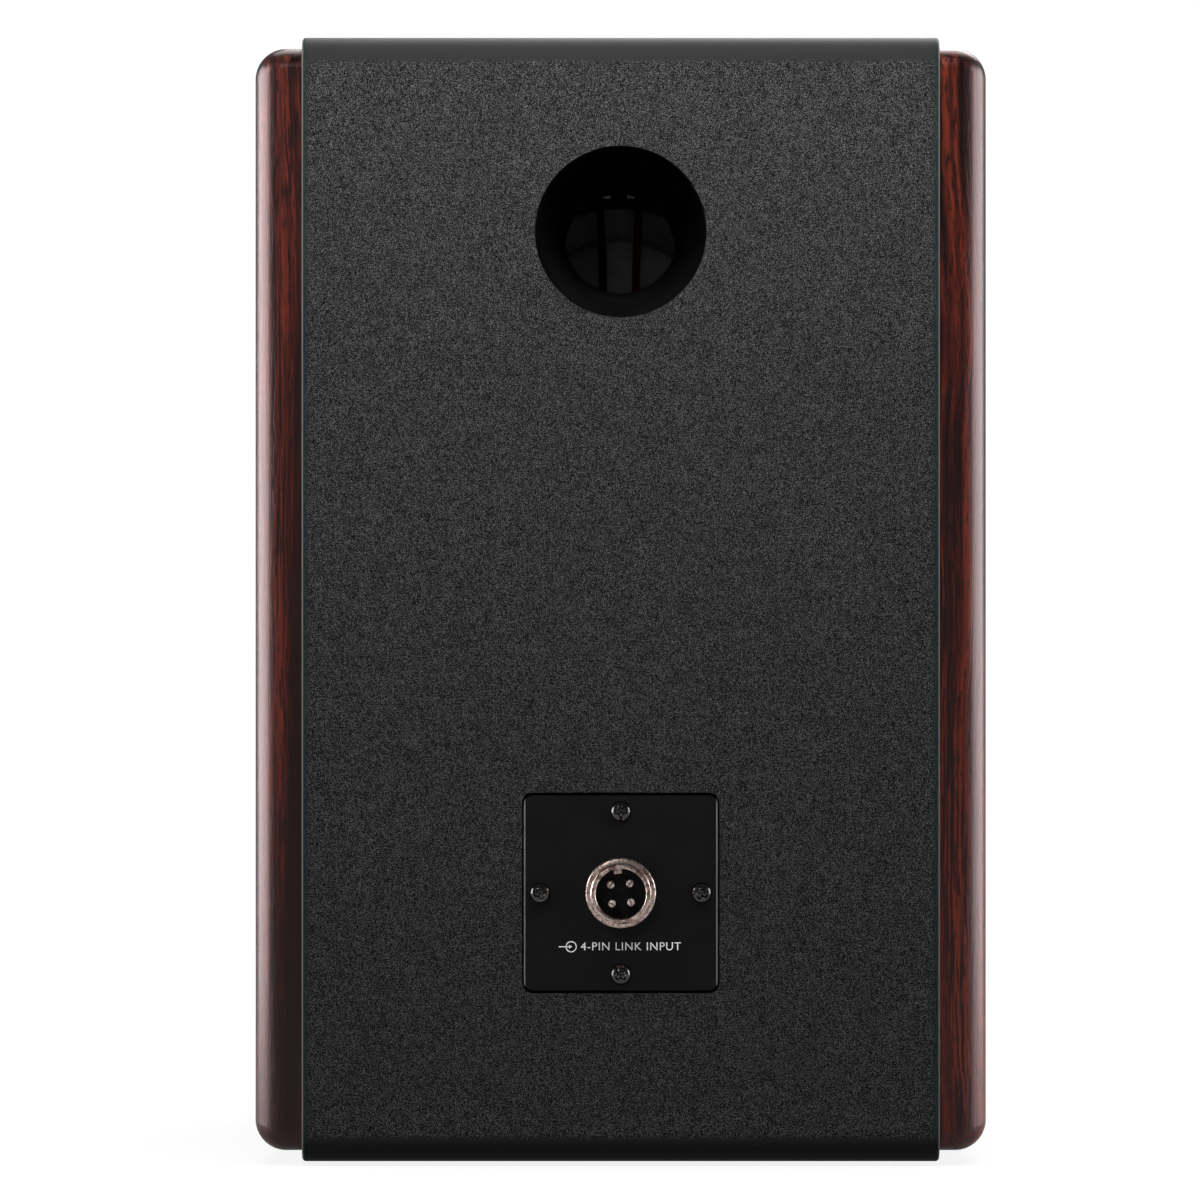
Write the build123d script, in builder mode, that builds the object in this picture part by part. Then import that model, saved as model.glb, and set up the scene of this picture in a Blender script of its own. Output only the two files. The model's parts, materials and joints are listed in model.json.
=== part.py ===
from build123d import *

import math
import os

# A two-way bookshelf speaker: the passive one of a linked pair, fed through a four-pin link socket.
# Millimetres. +Z is up and the front faces -Y. The origin is on the surface that the speaker stands
# on, under the middle of its overall box.

# ---- Cabinet ----------------------------------------------------------------------------------
body_width = 166.0  # between the two wooden side panels
body_height = 293.0
body_depth = 236.0  # from the baffle's front to the back
foot_height = 1.0
foot_radius = 8.0
wrap = 0.5  # textured film round the top, back and bottom
wall = 12.0  # top, back and bottom boards
side_wall = 9.0
baffle_thickness = 18.0
rear_radius = 7.0  # where the top and bottom turn into the back
edge_radius = 1.0  # where the wrap turns down to the side panels
wrap_turn = 12.0  # how far the wrap reaches down the sides
panel_thickness = 12.4
panel_inset = 2.85  # the panels stop this far inside the cabinet's outline
panel_round = 8.0
panel_corner = 5.0

# ---- Grille -----------------------------------------------------------------------------------
grille_margin = 1.0
grille_gap = 0.4  # between the frame and the baffle
grille_depth = 11.6
cloth = 0.5
frame_bar = 7.5
frame_bar_depth = 8.0
middle_bar = 8.0
driver_clearance = 4.0  # from the frame's back to the middle bar
peg_radius = 3.0
peg_clearance = 0.08
peg_length = 8.0
peg_inset = 14.0
socket_radius = 4.6
socket_depth = 9.5

# ---- Rear of the cabinet ----------------------------------------------------------------------
port_height = 242.2  # above the cabinet's underside, as is the plate's
port_mouth = 22.35
port_throat = 15.0
port_length = 125.0
port_lip = 4.5  # depth of the hole's own wall, before the flare's
flare_depth = 34.0
plate_height = 70.2
plate_size = (50.4, 51.2)
plate_corner = 2.3
plate_gap = 0.5  # between the plate and its recess
plate_thickness = 2.0
plate_sink = 0.4  # how far the plate's face lies under the back
gasket_thickness = 0.8
plate_screw_at = (21.0, 21.2)  # from the plate's middle, across and up

# ---- Link socket ------------------------------------------------------------------------------
socket_turn = 4.0  # degrees; the socket isn't quite square in its plate
thread_radius = 7.9
flange_radius = 9.2
flange_thickness = 1.6
barrel_length = 9.5  # in front of the plate
barrel_rear = 9.0  # behind the plate's face
bore_radius = 6.5
pin_radius = 1.0
pin_circle = 3.5

# ---- Drivers ----------------------------------------------------------------------------------
woofer_height = 95.0  # above the cabinet's underside
tweeter_height = 223.5
woofer_screw_circle = 69.5
tweeter_screw_circle = 44.0

# ---- Wiring -----------------------------------------------------------------------------------
lead_radius = 1.1

# ---- Places that follow -----------------------------------------------------------------------
bottom = foot_height
top = bottom + body_height
grille_reach = grille_gap + grille_depth
socket_reach = barrel_length - plate_sink
back = (grille_reach + body_depth + socket_reach) / 2 - socket_reach
front = back - body_depth
shell_front = front + baffle_thickness
middle = (top + bottom) / 2
inner_floor = bottom + wrap + wall
inner_ceiling = top - wrap - wall
inner_back = back - wrap - wall
inner_side = body_width / 2 - side_wall
port_z = bottom + port_height
plate_z = bottom + plate_height
plate_y = back - plate_sink
woofer_z = bottom + woofer_height
tweeter_z = bottom + tweeter_height

# Looking at the back: local X is to the viewer's right and the normal points out.
rear_face = Plane(origin=(0, back, 0), x_dir=(-1, 0, 0), z_dir=(0, 1, 0))
plate_face = Plane(origin=(0, plate_y, plate_z), x_dir=(-1, 0, 0), z_dir=(0, 1, 0))
front_face = Plane(origin=(0, front, 0), x_dir=(1, 0, 0), z_dir=(0, -1, 0))
# Half-sections of round pieces: local X is the radius, local Y the depth into the cabinet.
woofer_section = Plane(origin=(0, front, woofer_z), x_dir=(1, 0, 0), z_dir=(0, 0, 1))
tweeter_section = Plane(origin=(0, front, tweeter_z), x_dir=(1, 0, 0), z_dir=(0, 0, 1))
port_section = Plane(origin=(0, back, port_z), x_dir=(1, 0, 0), z_dir=(0, 0, -1))
socket_section = Plane(origin=(0, plate_y, plate_z), x_dir=(1, 0, 0), z_dir=(0, 0, -1))

os.makedirs("parts", exist_ok=True)


def write(piece, name):
    """Labels a finished piece and writes its STEP file."""
    piece.part.label = name
    export_step(piece.part, f"parts/{name}.step")


def axis_of(section):
    """The axis that a half-section is turned about."""
    return Axis(section.origin, section.y_dir)


def turned(section, *corners):
    """A round piece from its (radius, depth) corners."""
    with BuildPart() as piece:
        with BuildSketch(section):
            with BuildLine():
                Polyline(*corners, close=True)
            make_face()
        revolve(axis=axis_of(section))
    return piece


def spherical_cap(section, radius, rise, rim, thick, skirt):
    """A domed cap whose rim is at the depth `rim`, with a straight skirt behind it."""
    sphere = (radius**2 + rise**2) / (2 * rise)
    centre = rim - rise + sphere
    inner_sphere = sphere - thick
    inner_radius = math.sqrt(inner_sphere**2 - (centre - rim) ** 2)

    def on(size, across):
        return (across, centre - math.sqrt(size**2 - across**2))

    with BuildPart() as piece:
        with BuildSketch(section):
            with BuildLine():
                ThreePointArc(on(sphere, 0), on(sphere, radius / 2), on(sphere, radius))
                Line((radius, rim), (radius, rim + skirt))
                Line((radius, rim + skirt), (inner_radius, rim + skirt))
                Line((inner_radius, rim + skirt), (inner_radius, rim))
                ThreePointArc(
                    on(inner_sphere, inner_radius), on(inner_sphere, inner_radius / 2), on(inner_sphere, 0)
                )
                Line(on(inner_sphere, 0), on(sphere, 0))
            make_face()
        revolve(axis=axis_of(section))
    return piece


def centred_block(low, high, mode=Mode.ADD):
    """Adds a box between two corners to the piece being built."""
    size = [high[i] - low[i] for i in range(3)]
    with Locations(tuple((low[i] + high[i]) / 2 for i in range(3))):
        Box(*size, mode=mode)


def wrapped_section(inset, reach):
    """The U of top, back and bottom, from `inset` to `reach` under the outer surface."""
    depth = back - inset - shell_front
    with BuildSketch(Plane.YZ) as outline:
        with Locations((shell_front + depth / 2, middle)):
            Rectangle(depth, body_height - 2 * inset)
        fillet(outline.vertices().group_by(Axis.X)[-1], rear_radius - inset)
        hollow = back - reach - shell_front
        with Locations((shell_front + hollow / 2, middle)):
            Rectangle(hollow, body_height - 2 * reach, mode=Mode.SUBTRACT)
    return outline.sketch


def outer_side_edges(piece, inset):
    """The long edges where the top, back and bottom meet the sides of a wrapped piece."""
    side = body_width / 2 - inset
    found = []
    for edge in piece.edges().filter_by(lambda e: abs(abs(e.center().X) - side) < 0.01):
        at = edge.center()
        outside = at.Z > top - rear_radius or at.Z < bottom + rear_radius or at.Y > back - rear_radius
        if outside and at.Y > shell_front + 0.01:
            found.append(edge)
    return found


# ---- Cabinet boards ---------------------------------------------------------------------------
top_mitre = Plane(origin=(0, back - wrap, top - wrap), x_dir=(1, 0, 0), z_dir=(0, 1, -1))
bottom_mitre = Plane(origin=(0, back - wrap, bottom + wrap), x_dir=(1, 0, 0), z_dir=(0, 1, 1))
screw_heights = (inner_floor + 35, inner_ceiling - 35)
screw_depths = (shell_front + 30, inner_back - 30)
side_screw_places = [(y, z) for y in screw_depths for z in screw_heights]
screw_hole = 2.0
screw_tip = 1.5
screw_head = 4.0

with BuildPart() as top_board:
    extrude(wrapped_section(wrap, wrap + wall), amount=body_width / 2 - wrap, both=True)
    fillet(outer_side_edges(top_board, wrap), edge_radius - wrap)
    split(bisect_by=top_mitre, keep=Keep.BOTTOM)

with BuildPart() as bottom_board:
    extrude(wrapped_section(wrap, wrap + wall), amount=body_width / 2 - wrap, both=True)
    fillet(outer_side_edges(bottom_board, wrap), edge_radius - wrap)
    split(bisect_by=bottom_mitre, keep=Keep.BOTTOM)

recess_size = [side + 2 * plate_gap for side in plate_size]
recess_depth = plate_sink + plate_thickness + gasket_thickness
wiring_hole = 16.0
flare_seat = 25.0
flange_seat = 29.0
plate_screw_radius = 1.45
plate_screw_reach = 10.0

with BuildPart() as back_board:
    extrude(wrapped_section(wrap, wrap + wall), amount=body_width / 2 - wrap, both=True)
    fillet(outer_side_edges(back_board, wrap), edge_radius - wrap)
    split(bisect_by=top_mitre, keep=Keep.TOP)
    split(bisect_by=bottom_mitre, keep=Keep.TOP)
    with BuildSketch(rear_face):
        with Locations((0, port_z)):
            Circle(port_mouth)
        with Locations((0, plate_z)):
            Circle(wiring_hole)
    extrude(amount=-(wrap + wall), mode=Mode.SUBTRACT)
    with BuildSketch(rear_face.offset(-port_lip)):
        with Locations((0, port_z)):
            Circle(flare_seat)
    extrude(amount=-(wrap + wall - port_lip), mode=Mode.SUBTRACT)
    with BuildSketch(rear_face):
        with Locations((0, plate_z)):
            RectangleRounded(*recess_size, plate_corner + plate_gap)
    extrude(amount=-recess_depth, mode=Mode.SUBTRACT)
    with BuildSketch(plate_face):
        with Locations((plate_screw_at[0], 0), (-plate_screw_at[0], 0)):
            Circle(plate_screw_radius)
        with Locations((0, plate_screw_at[1]), (0, -plate_screw_at[1])):
            Circle(plate_screw_radius)
    extrude(amount=-plate_screw_reach, mode=Mode.SUBTRACT)

with BuildPart() as wrap_film:
    extrude(wrapped_section(0, wrap_turn), amount=body_width / 2, both=True)
    fillet(outer_side_edges(wrap_film, 0), edge_radius)
    with BuildPart(mode=Mode.PRIVATE) as boards:
        extrude(wrapped_section(wrap, wall + wrap_turn), amount=body_width / 2 - wrap, both=True)
        fillet(outer_side_edges(boards, wrap), edge_radius - wrap)
    add(boards.part, mode=Mode.SUBTRACT)
    with BuildSketch(rear_face):
        with Locations((0, port_z)):
            Circle(port_mouth)
        with Locations((0, plate_z)):
            RectangleRounded(*recess_size, plate_corner + plate_gap)
    extrude(amount=-2 * wrap, mode=Mode.SUBTRACT)

for board, name in ((top_board, "top_board"), (bottom_board, "bottom_board")):
    write(board, name)
write(back_board, "back_board")
write(wrap_film, "wrap_film")

# The inner side boards close the box, and the wooden panels are screwed to them from inside.
for sign, side in ((-1, "left"), (1, "right")):
    outward = Plane(origin=(sign * inner_side, 0, 0), x_dir=(0, sign, 0), z_dir=(sign, 0, 0))

    with BuildPart() as side_board:
        low_x, high_x = sorted((sign * inner_side, sign * body_width / 2))
        centred_block((low_x, shell_front, inner_floor), (high_x, inner_back, inner_ceiling))
        for y, z in side_screw_places:
            with BuildSketch(outward):
                with Locations((sign * y, z)):
                    Circle(screw_head)
            with BuildSketch(outward.offset(screw_hole)):
                with Locations((sign * y, z)):
                    Circle(screw_hole)
            loft(mode=Mode.SUBTRACT)
            with BuildSketch(outward):
                with Locations((sign * y, z)):
                    Circle(screw_hole)
            extrude(amount=side_wall, mode=Mode.SUBTRACT)
    write(side_board, f"{side}_inner_board")

    with BuildPart() as side_panel:
        panel_low = (front + panel_inset, bottom + panel_inset)
        panel_high = (back - panel_inset, top - panel_inset)
        with BuildSketch(Plane.YZ.offset(sign * body_width / 2)):
            with Locations(((panel_low[0] + panel_high[0]) / 2, middle)):
                RectangleRounded(panel_high[0] - panel_low[0], panel_high[1] - panel_low[1], panel_corner)
        extrude(amount=sign * panel_thickness)
        outer_face = side_panel.faces().sort_by(Axis.X)[-1 if sign > 0 else 0]
        fillet(outer_face.edges(), panel_round)
        for y, z in side_screw_places:
            with BuildSketch(outward.offset(side_wall)):
                with Locations((sign * y, z)):
                    Circle(screw_tip)
            extrude(amount=7.0, mode=Mode.SUBTRACT)
    write(side_panel, f"{side}_side_panel")

with BuildPart() as side_panel_screws:
    for sign in (-1, 1):
        outward = Plane(origin=(sign * inner_side, 0, 0), x_dir=(0, sign, 0), z_dir=(sign, 0, 0))
        for y, z in side_screw_places:
            with BuildSketch(outward):
                with Locations((sign * y, z)):
                    Circle(screw_head)
            with BuildSketch(outward.offset(screw_hole)):
                with Locations((sign * y, z)):
                    Circle(screw_hole)
            loft()
            with BuildSketch(outward):
                with Locations((sign * y, z)):
                    Circle(screw_hole)
            extrude(amount=side_wall)
            with BuildSketch(outward.offset(side_wall)):
                with Locations((sign * y, z)):
                    Circle(screw_tip)
            extrude(amount=6.5)
            with BuildSketch(outward):
                with Locations((sign * y, z)):
                    Rectangle(4.6, 0.9)
                    Rectangle(0.9, 4.6)
            extrude(amount=1.4, mode=Mode.SUBTRACT)
write(side_panel_screws, "side_panel_screws")

foot_places = [(x, y) for x in (-62.0, 62.0) for y in (front + 28, back - 36)]
with BuildPart() as feet:
    with BuildSketch(Plane.XY):
        with Locations(*foot_places):
            Circle(foot_radius)
    extrude(amount=foot_height)
    fillet(feet.faces().sort_by(Axis.Z)[:4].edges(), 0.4)
write(feet, "feet")

# ---- Baffle -----------------------------------------------------------------------------------
peg_places = [
    (x, z) for x in (peg_inset - body_width / 2 - 2, body_width / 2 - peg_inset + 2)
    for z in (bottom + peg_inset, top - peg_inset)
]
woofer_recess = (73.3, 5.5)
woofer_hole = 60.0
tweeter_recess = (50.2, 4.6)
tweeter_hole = 38.0
woofer_screw_pilot = 1.6
tweeter_screw_pilot = 1.4
woofer_screw_turn = 30.0
tweeter_screw_turn = 45.0

with BuildPart() as front_baffle:
    centred_block((-body_width / 2, front, bottom), (body_width / 2, shell_front, top))
    fillet(front_baffle.faces().sort_by(Axis.Y)[0].edges(), 2.0)
    chamfer(front_baffle.faces().sort_by(Axis.Y)[-1].edges(), 0.6)
    for height, (recess, depth), hole in (
        (woofer_z, woofer_recess, woofer_hole),
        (tweeter_z, tweeter_recess, tweeter_hole),
    ):
        with BuildSketch(front_face):
            with Locations((0, height)):
                Circle(recess)
        extrude(amount=-depth, mode=Mode.SUBTRACT)
        with BuildSketch(front_face):
            with Locations((0, height)):
                Circle(hole)
        extrude(amount=-baffle_thickness, mode=Mode.SUBTRACT)
    with BuildSketch(front_face):
        with Locations(*peg_places):
            Circle(socket_radius)
    extrude(amount=-socket_depth, mode=Mode.SUBTRACT)
    with BuildSketch(front_face):
        with Locations((0, woofer_z)):
            with PolarLocations(woofer_screw_circle, 6, start_angle=woofer_screw_turn):
                Circle(woofer_screw_pilot)
    extrude(amount=-16.0, mode=Mode.SUBTRACT)
    with BuildSketch(front_face):
        with Locations((0, tweeter_z)):
            with PolarLocations(tweeter_screw_circle, 4, start_angle=tweeter_screw_turn):
                Circle(tweeter_screw_pilot)
    extrude(amount=-14.0, mode=Mode.SUBTRACT)
write(front_baffle, "front_baffle")

with BuildPart() as grille_sockets:
    with BuildSketch(front_face):
        with Locations(*peg_places):
            Circle(socket_radius)
    extrude(amount=-socket_depth)
    with BuildSketch(front_face):
        with Locations(*peg_places):
            Circle(peg_radius + peg_clearance)
    extrude(amount=-(peg_length - grille_gap + 0.4), mode=Mode.SUBTRACT)
write(grille_sockets, "grille_sockets")

# ---- Grille -----------------------------------------------------------------------------------
grille_width = body_width - 2 * grille_margin
grille_height = body_height - 2 * grille_margin
grille_corner = 5.0
grille_back = front_face.offset(grille_gap)
gusset = 24.0
stem_radius = 2.0
stem_depth = 5.0

with BuildPart() as grille_frame:
    with BuildSketch(grille_back):
        with Locations((0, middle)):
            RectangleRounded(grille_width - 2 * cloth, grille_height - 2 * cloth, grille_corner - cloth)
    extrude(amount=grille_depth - cloth)
    fillet(grille_frame.faces().sort_by(Axis.Y)[0].edges(), 2.5)
    opening = (grille_width - 2 * cloth - 2 * frame_bar, grille_height - 2 * cloth - 2 * frame_bar)
    with BuildSketch(grille_back):
        with Locations((0, middle)):
            Rectangle(*opening)
        bar_z = (woofer_z + woofer_recess[0] + tweeter_z - tweeter_recess[0]) / 2
        with Locations((0, bar_z)):
            Rectangle(opening[0], middle_bar, mode=Mode.SUBTRACT)
        for sign_x in (-1, 1):
            for sign_z in (-1, 1):
                corner = (sign_x * opening[0] / 2, middle + sign_z * opening[1] / 2)
                along = (corner[0] - sign_x * gusset, corner[1])
                down = (corner[0], corner[1] - sign_z * gusset)
                Polygon(corner, along, down, align=None, mode=Mode.SUBTRACT)
    extrude(amount=grille_depth - cloth, mode=Mode.SUBTRACT)
    with BuildSketch(grille_back):
        with Locations((0, bar_z)):
            Rectangle(opening[0], middle_bar)
    extrude(amount=driver_clearance, mode=Mode.SUBTRACT)
    # The middle bar and the gussets stay behind the cloth, so that they don't show through it.
    with BuildSketch(grille_back.offset(frame_bar_depth)):
        with Locations((0, middle)):
            Rectangle(*opening)
    extrude(amount=grille_depth - cloth - frame_bar_depth, mode=Mode.SUBTRACT)
    with BuildSketch(grille_back):
        with Locations(*peg_places):
            Circle(stem_radius)
    extrude(amount=stem_depth, mode=Mode.SUBTRACT)
write(grille_frame, "grille_frame")

with BuildPart() as grille_pegs:
    with BuildSketch(grille_back):
        with Locations(*peg_places):
            Circle(stem_radius)
    extrude(amount=stem_depth)
    with BuildSketch(grille_back):
        with Locations(*peg_places):
            Circle(peg_radius)
    extrude(amount=-peg_length)
    chamfer(grille_pegs.faces().sort_by(Axis.Y)[-4:].edges(), 0.8)
write(grille_pegs, "grille_pegs")

with BuildPart() as grille_cloth:
    with BuildSketch(grille_back):
        with Locations((0, middle)):
            RectangleRounded(grille_width, grille_height, grille_corner)
    extrude(amount=grille_depth)
    fillet(grille_cloth.faces().sort_by(Axis.Y)[0].edges(), 3.0)
    with BuildPart(mode=Mode.PRIVATE) as inside:
        with BuildSketch(grille_back):
            with Locations((0, middle)):
                RectangleRounded(grille_width - 2 * cloth, grille_height - 2 * cloth, grille_corner - cloth)
        extrude(amount=grille_depth - cloth)
        fillet(inside.faces().sort_by(Axis.Y)[0].edges(), 3.0 - cloth)
    add(inside.part, mode=Mode.SUBTRACT)
write(grille_cloth, "grille_cloth")

# ---- Reflex port ------------------------------------------------------------------------------
port_wall = 2.0
flare_straight = 2.0
spigot = 12.0
flange_at = wrap + wall  # the back board's inner face

with BuildPart() as port_flare:
    with BuildSketch(port_section):
        with BuildLine():
            start = (port_mouth, port_lip)
            bend = (port_mouth, port_lip + flare_straight)
            end = (port_throat, flare_depth)
            Line(start, bend)
            Bezier(bend, (port_mouth, 18.0), (port_throat, 20.0), end)
            Polyline(
                end,
                (port_throat + port_wall, flare_depth),
                (port_throat + port_wall, flare_depth + spigot),
                (port_throat + 2 * port_wall, flare_depth + spigot),
                (port_throat + 2 * port_wall, flange_at + 10),
                (flare_seat - 0.5, flange_at + 2.5),
                (flange_seat, flange_at + 2.5),
                (flange_seat, flange_at),
                (flare_seat - 0.1, flange_at),
                (flare_seat - 0.1, port_lip),
                start,
            )
        make_face()
    revolve(axis=axis_of(port_section))
write(port_flare, "port_flare")

with BuildPart() as port_tube:
    with BuildSketch(port_section):
        with BuildLine():
            inner_end = (port_throat + 4.0, port_length)
            Line((port_throat, flare_depth), (port_throat, port_length - 12))
            Bezier((port_throat, port_length - 12), (port_throat, port_length - 5), inner_end)
            Polyline(
                inner_end,
                (port_throat + 4.0 + port_wall, port_length),
                (port_throat + port_wall, port_length - 10),
                (port_throat + port_wall, flare_depth),
                (port_throat, flare_depth),
            )
        make_face()
    revolve(axis=axis_of(port_section))
write(port_tube, "port_tube")

# ---- Link plate -------------------------------------------------------------------------------
plate_screw_points = [
    (plate_screw_at[0], 0),
    (-plate_screw_at[0], 0),
    (0, plate_screw_at[1]),
    (0, -plate_screw_at[1]),
]
plate_screw_clearance = 1.6
panel_hole = thread_radius + 0.1
pan_head = (2.7, 2.0)

with BuildPart() as link_plate:
    with BuildSketch(plate_face):
        RectangleRounded(*plate_size, plate_corner)
        with Locations(*plate_screw_points):
            Circle(plate_screw_clearance, mode=Mode.SUBTRACT)
        Circle(panel_hole, mode=Mode.SUBTRACT)
    extrude(amount=-plate_thickness)
    rim = link_plate.faces().sort_by(Axis.Y)[-1].outer_wire().edges()
    chamfer(rim, 0.3)
write(link_plate, "link_plate")

with BuildPart() as link_plate_gasket:
    with BuildSketch(plate_face.offset(-plate_thickness)):
        RectangleRounded(*plate_size, plate_corner)
        with Locations(*plate_screw_points):
            Circle(plate_screw_clearance, mode=Mode.SUBTRACT)
        Circle(wiring_hole, mode=Mode.SUBTRACT)
    extrude(amount=-gasket_thickness)
write(link_plate_gasket, "link_plate_gasket")

with BuildPart() as link_plate_screws:
    for place in plate_screw_points:
        with BuildSketch(plate_face):
            with Locations(place):
                Circle(plate_screw_radius)
        extrude(amount=-plate_screw_reach)
        with BuildSketch(plate_face):
            with Locations(place):
                Circle(pan_head[0])
        extrude(amount=pan_head[1])
    crowns = link_plate_screws.faces().sort_by(Axis.Y)[-4:]
    fillet(crowns.edges(), 1.3)
    for number, place in enumerate(plate_screw_points):
        with BuildSketch(plate_face.offset(pan_head[1])):
            with Locations(Location(place, 20 + 37 * number)):
                Rectangle(3.2, 0.75)
                Rectangle(0.75, 3.2)
                Circle(0.75)
        extrude(amount=-1.3, taper=8, mode=Mode.SUBTRACT)
write(link_plate_screws, "link_plate_screws")

# ---- Link socket: shell, insert, pins, washer and nut -------------------------------------------
insert_face = 1.5  # in front of the plate's face
insert_rear = 8.0
key_size = (2.0, 1.2)
key_turn = 7.5
washer_thickness = 0.8
nut_thickness = 2.5
nut_across = 19.0

with BuildPart() as socket_shell:
    with BuildSketch(socket_section):
        with BuildLine():
            Polyline(
                (bore_radius, -barrel_length),
                (thread_radius, -barrel_length),
                (thread_radius, -flange_thickness),
                (flange_radius, -flange_thickness),
                (flange_radius, 0),
                (thread_radius, 0),
                (thread_radius, barrel_rear),
                (bore_radius, barrel_rear),
                close=True,
            )
        make_face()
    revolve(axis=axis_of(socket_section))
    rims = socket_shell.edges().filter_by(GeomType.CIRCLE).sort_by(Axis.Y)[-2:]
    chamfer(rims.sort_by(lambda e: e.radius)[-1], 0.5)
    chamfer(rims.sort_by(lambda e: e.radius)[0], 0.35)
    flange_rim = socket_shell.edges().filter_by(GeomType.CIRCLE).filter_by(
        lambda e: abs(e.radius - flange_radius) < 0.01
    )
    fillet(flange_rim.sort_by(Axis.Y)[-1], 0.5)
    with BuildSketch(plate_face.offset(insert_face)):
        with Locations(Location((0, 0), key_turn)):
            with Locations((0, bore_radius - key_size[1] / 2 + 0.2)):
                Rectangle(key_size[0], key_size[1] + 0.4)
    extrude(amount=barrel_length - insert_face - 1.0)
write(socket_shell, "socket_shell")

with BuildPart() as socket_insert:
    with BuildSketch(plate_face.offset(insert_face)):
        Circle(bore_radius)
        with Locations(Location((0, 0), socket_turn)):
            with PolarLocations(pin_circle, 4, start_angle=45):
                Circle(pin_radius, mode=Mode.SUBTRACT)
    extrude(amount=-(insert_face + insert_rear))
write(socket_insert, "socket_insert")

pin_tip = barrel_length - 1.8
cup_radius = 1.3
cup_length = 5.0
slot_angles = (45, 55, 145, 110)
with BuildPart() as socket_pins:
    with BuildSketch(plate_face.offset(-insert_rear)):
        with Locations(Location((0, 0), socket_turn)):
            with PolarLocations(pin_circle, 4, start_angle=45):
                Circle(pin_radius)
    extrude(amount=insert_rear + pin_tip)
    fillet(socket_pins.faces().sort_by(Axis.Y)[-4:].edges(), 0.55)
    with BuildSketch(plate_face.offset(-insert_rear)):
        with Locations(Location((0, 0), socket_turn)):
            with PolarLocations(pin_circle, 4, start_angle=45):
                Circle(cup_radius)
    extrude(amount=-cup_length)
    with BuildSketch(plate_face.offset(pin_tip)):
        for number, slot_angle in enumerate(slot_angles):
            turn = math.radians(45 + 90 * number + socket_turn)
            at = (pin_circle * math.cos(turn), pin_circle * math.sin(turn))
            with Locations(Location(at, slot_angle)):
                Rectangle(2.4 * pin_radius, 0.35)
    extrude(amount=-4.0, mode=Mode.SUBTRACT)
write(socket_pins, "socket_pins")

socket_lock_washer = turned(
    socket_section,
    (thread_radius + 0.1, plate_thickness),
    (thread_radius + 2.4, plate_thickness),
    (thread_radius + 2.4, plate_thickness + washer_thickness),
    (thread_radius + 0.1, plate_thickness + washer_thickness),
)
write(socket_lock_washer, "socket_lock_washer")

with BuildPart() as socket_nut:
    with BuildSketch(plate_face.offset(-(plate_thickness + washer_thickness))):
        RegularPolygon(nut_across / 2, 6, major_radius=False)
        Circle(thread_radius, mode=Mode.SUBTRACT)
    extrude(amount=-nut_thickness)
write(socket_nut, "socket_nut")

sleeve_radius = 1.75
sleeve_span = (9.5, 17.5)  # behind the plate's face
with BuildPart() as solder_sleeves:
    for depth, end, bore in (
        (sleeve_span[0], insert_rear + cup_length, cup_radius),
        (insert_rear + cup_length, sleeve_span[1], lead_radius),
    ):
        with BuildSketch(plate_face.offset(-depth)):
            with Locations(Location((0, 0), socket_turn)):
                with PolarLocations(pin_circle, 4, start_angle=45):
                    Circle(sleeve_radius)
                    Circle(bore, mode=Mode.SUBTRACT)
        extrude(amount=-(end - depth))
write(solder_sleeves, "solder_sleeves")

# ---- Woofer -----------------------------------------------------------------------------------
surround_plane = 2.0  # depth of the surround's middle surface
surround_thick = 0.9
roll_inner = 52.2
roll_outer = 61.8
surround_rim = 66.8
cone_rim = 52.0
cone_lip = 48.6
cone_neck = (13.6, 24.0)
cone_thick = 0.8
cap_radius = 20.0
cap_rise = 8.0
coil_radius = 12.7
former = 0.2
winding = 0.45
pole_radius = 12.35
plate_bore = 13.7
spider_depth = 32.4
spider_thick = 0.6
spider_rim = 46.0
ledge_depth = 33.0
basket_rear = 38.0
top_plate_thick = 6.0
magnet_thick = 18.0
yoke_thick = 6.0

with BuildPart() as woofer_basket:
    with BuildSketch(woofer_section):
        with BuildLine():
            Polyline(
                (24.0, 36.0),
                (41.0, 36.0),
                (41.0, ledge_depth),
                (47.0, ledge_depth),
                (47.0, 31.5),
                (55.5, 12.0),
                (57.5, 5.0),
                (61.0, surround_plane + surround_thick / 2),
                (67.0, surround_plane + surround_thick / 2),
                (67.0, 0.0),
                (73.0, 0.0),
                (73.0, 4.5),
                (59.5, 4.5),
                (58.2, 12.0),
                (49.5, 32.5),
                (49.5, basket_rear),
                (24.0, basket_rear),
                close=True,
            )
        make_face()
    revolve(axis=axis_of(woofer_section))
    half = math.radians(21)
    with BuildSketch(front_face.offset(-8.0)):
        with Locations((0, woofer_z)):
            with PolarLocations(0, 6, start_angle=0):
                Polygon(
                    (44 * math.cos(half), 44 * math.sin(half)),
                    (44 * math.cos(half), -44 * math.sin(half)),
                    (66 * math.cos(half), -66 * math.sin(half)),
                    (66 * math.cos(half), 66 * math.sin(half)),
                    align=None,
                )
    extrude(amount=-22.5, mode=Mode.SUBTRACT)
    with BuildSketch(front_face):
        with Locations((0, woofer_z)):
            with PolarLocations(woofer_screw_circle, 6, start_angle=woofer_screw_turn):
                Circle(2.2)
    extrude(amount=-5.0, mode=Mode.SUBTRACT)
write(woofer_basket, "woofer_basket")

with BuildPart() as woofer_gasket:
    with BuildSketch(front_face.offset(-4.5)):
        with Locations((0, woofer_z)):
            Circle(73.0)
            Circle(61.0, mode=Mode.SUBTRACT)
            with PolarLocations(woofer_screw_circle, 6, start_angle=woofer_screw_turn):
                Circle(2.2, mode=Mode.SUBTRACT)
    extrude(amount=-1.0)
write(woofer_gasket, "woofer_gasket")

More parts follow.
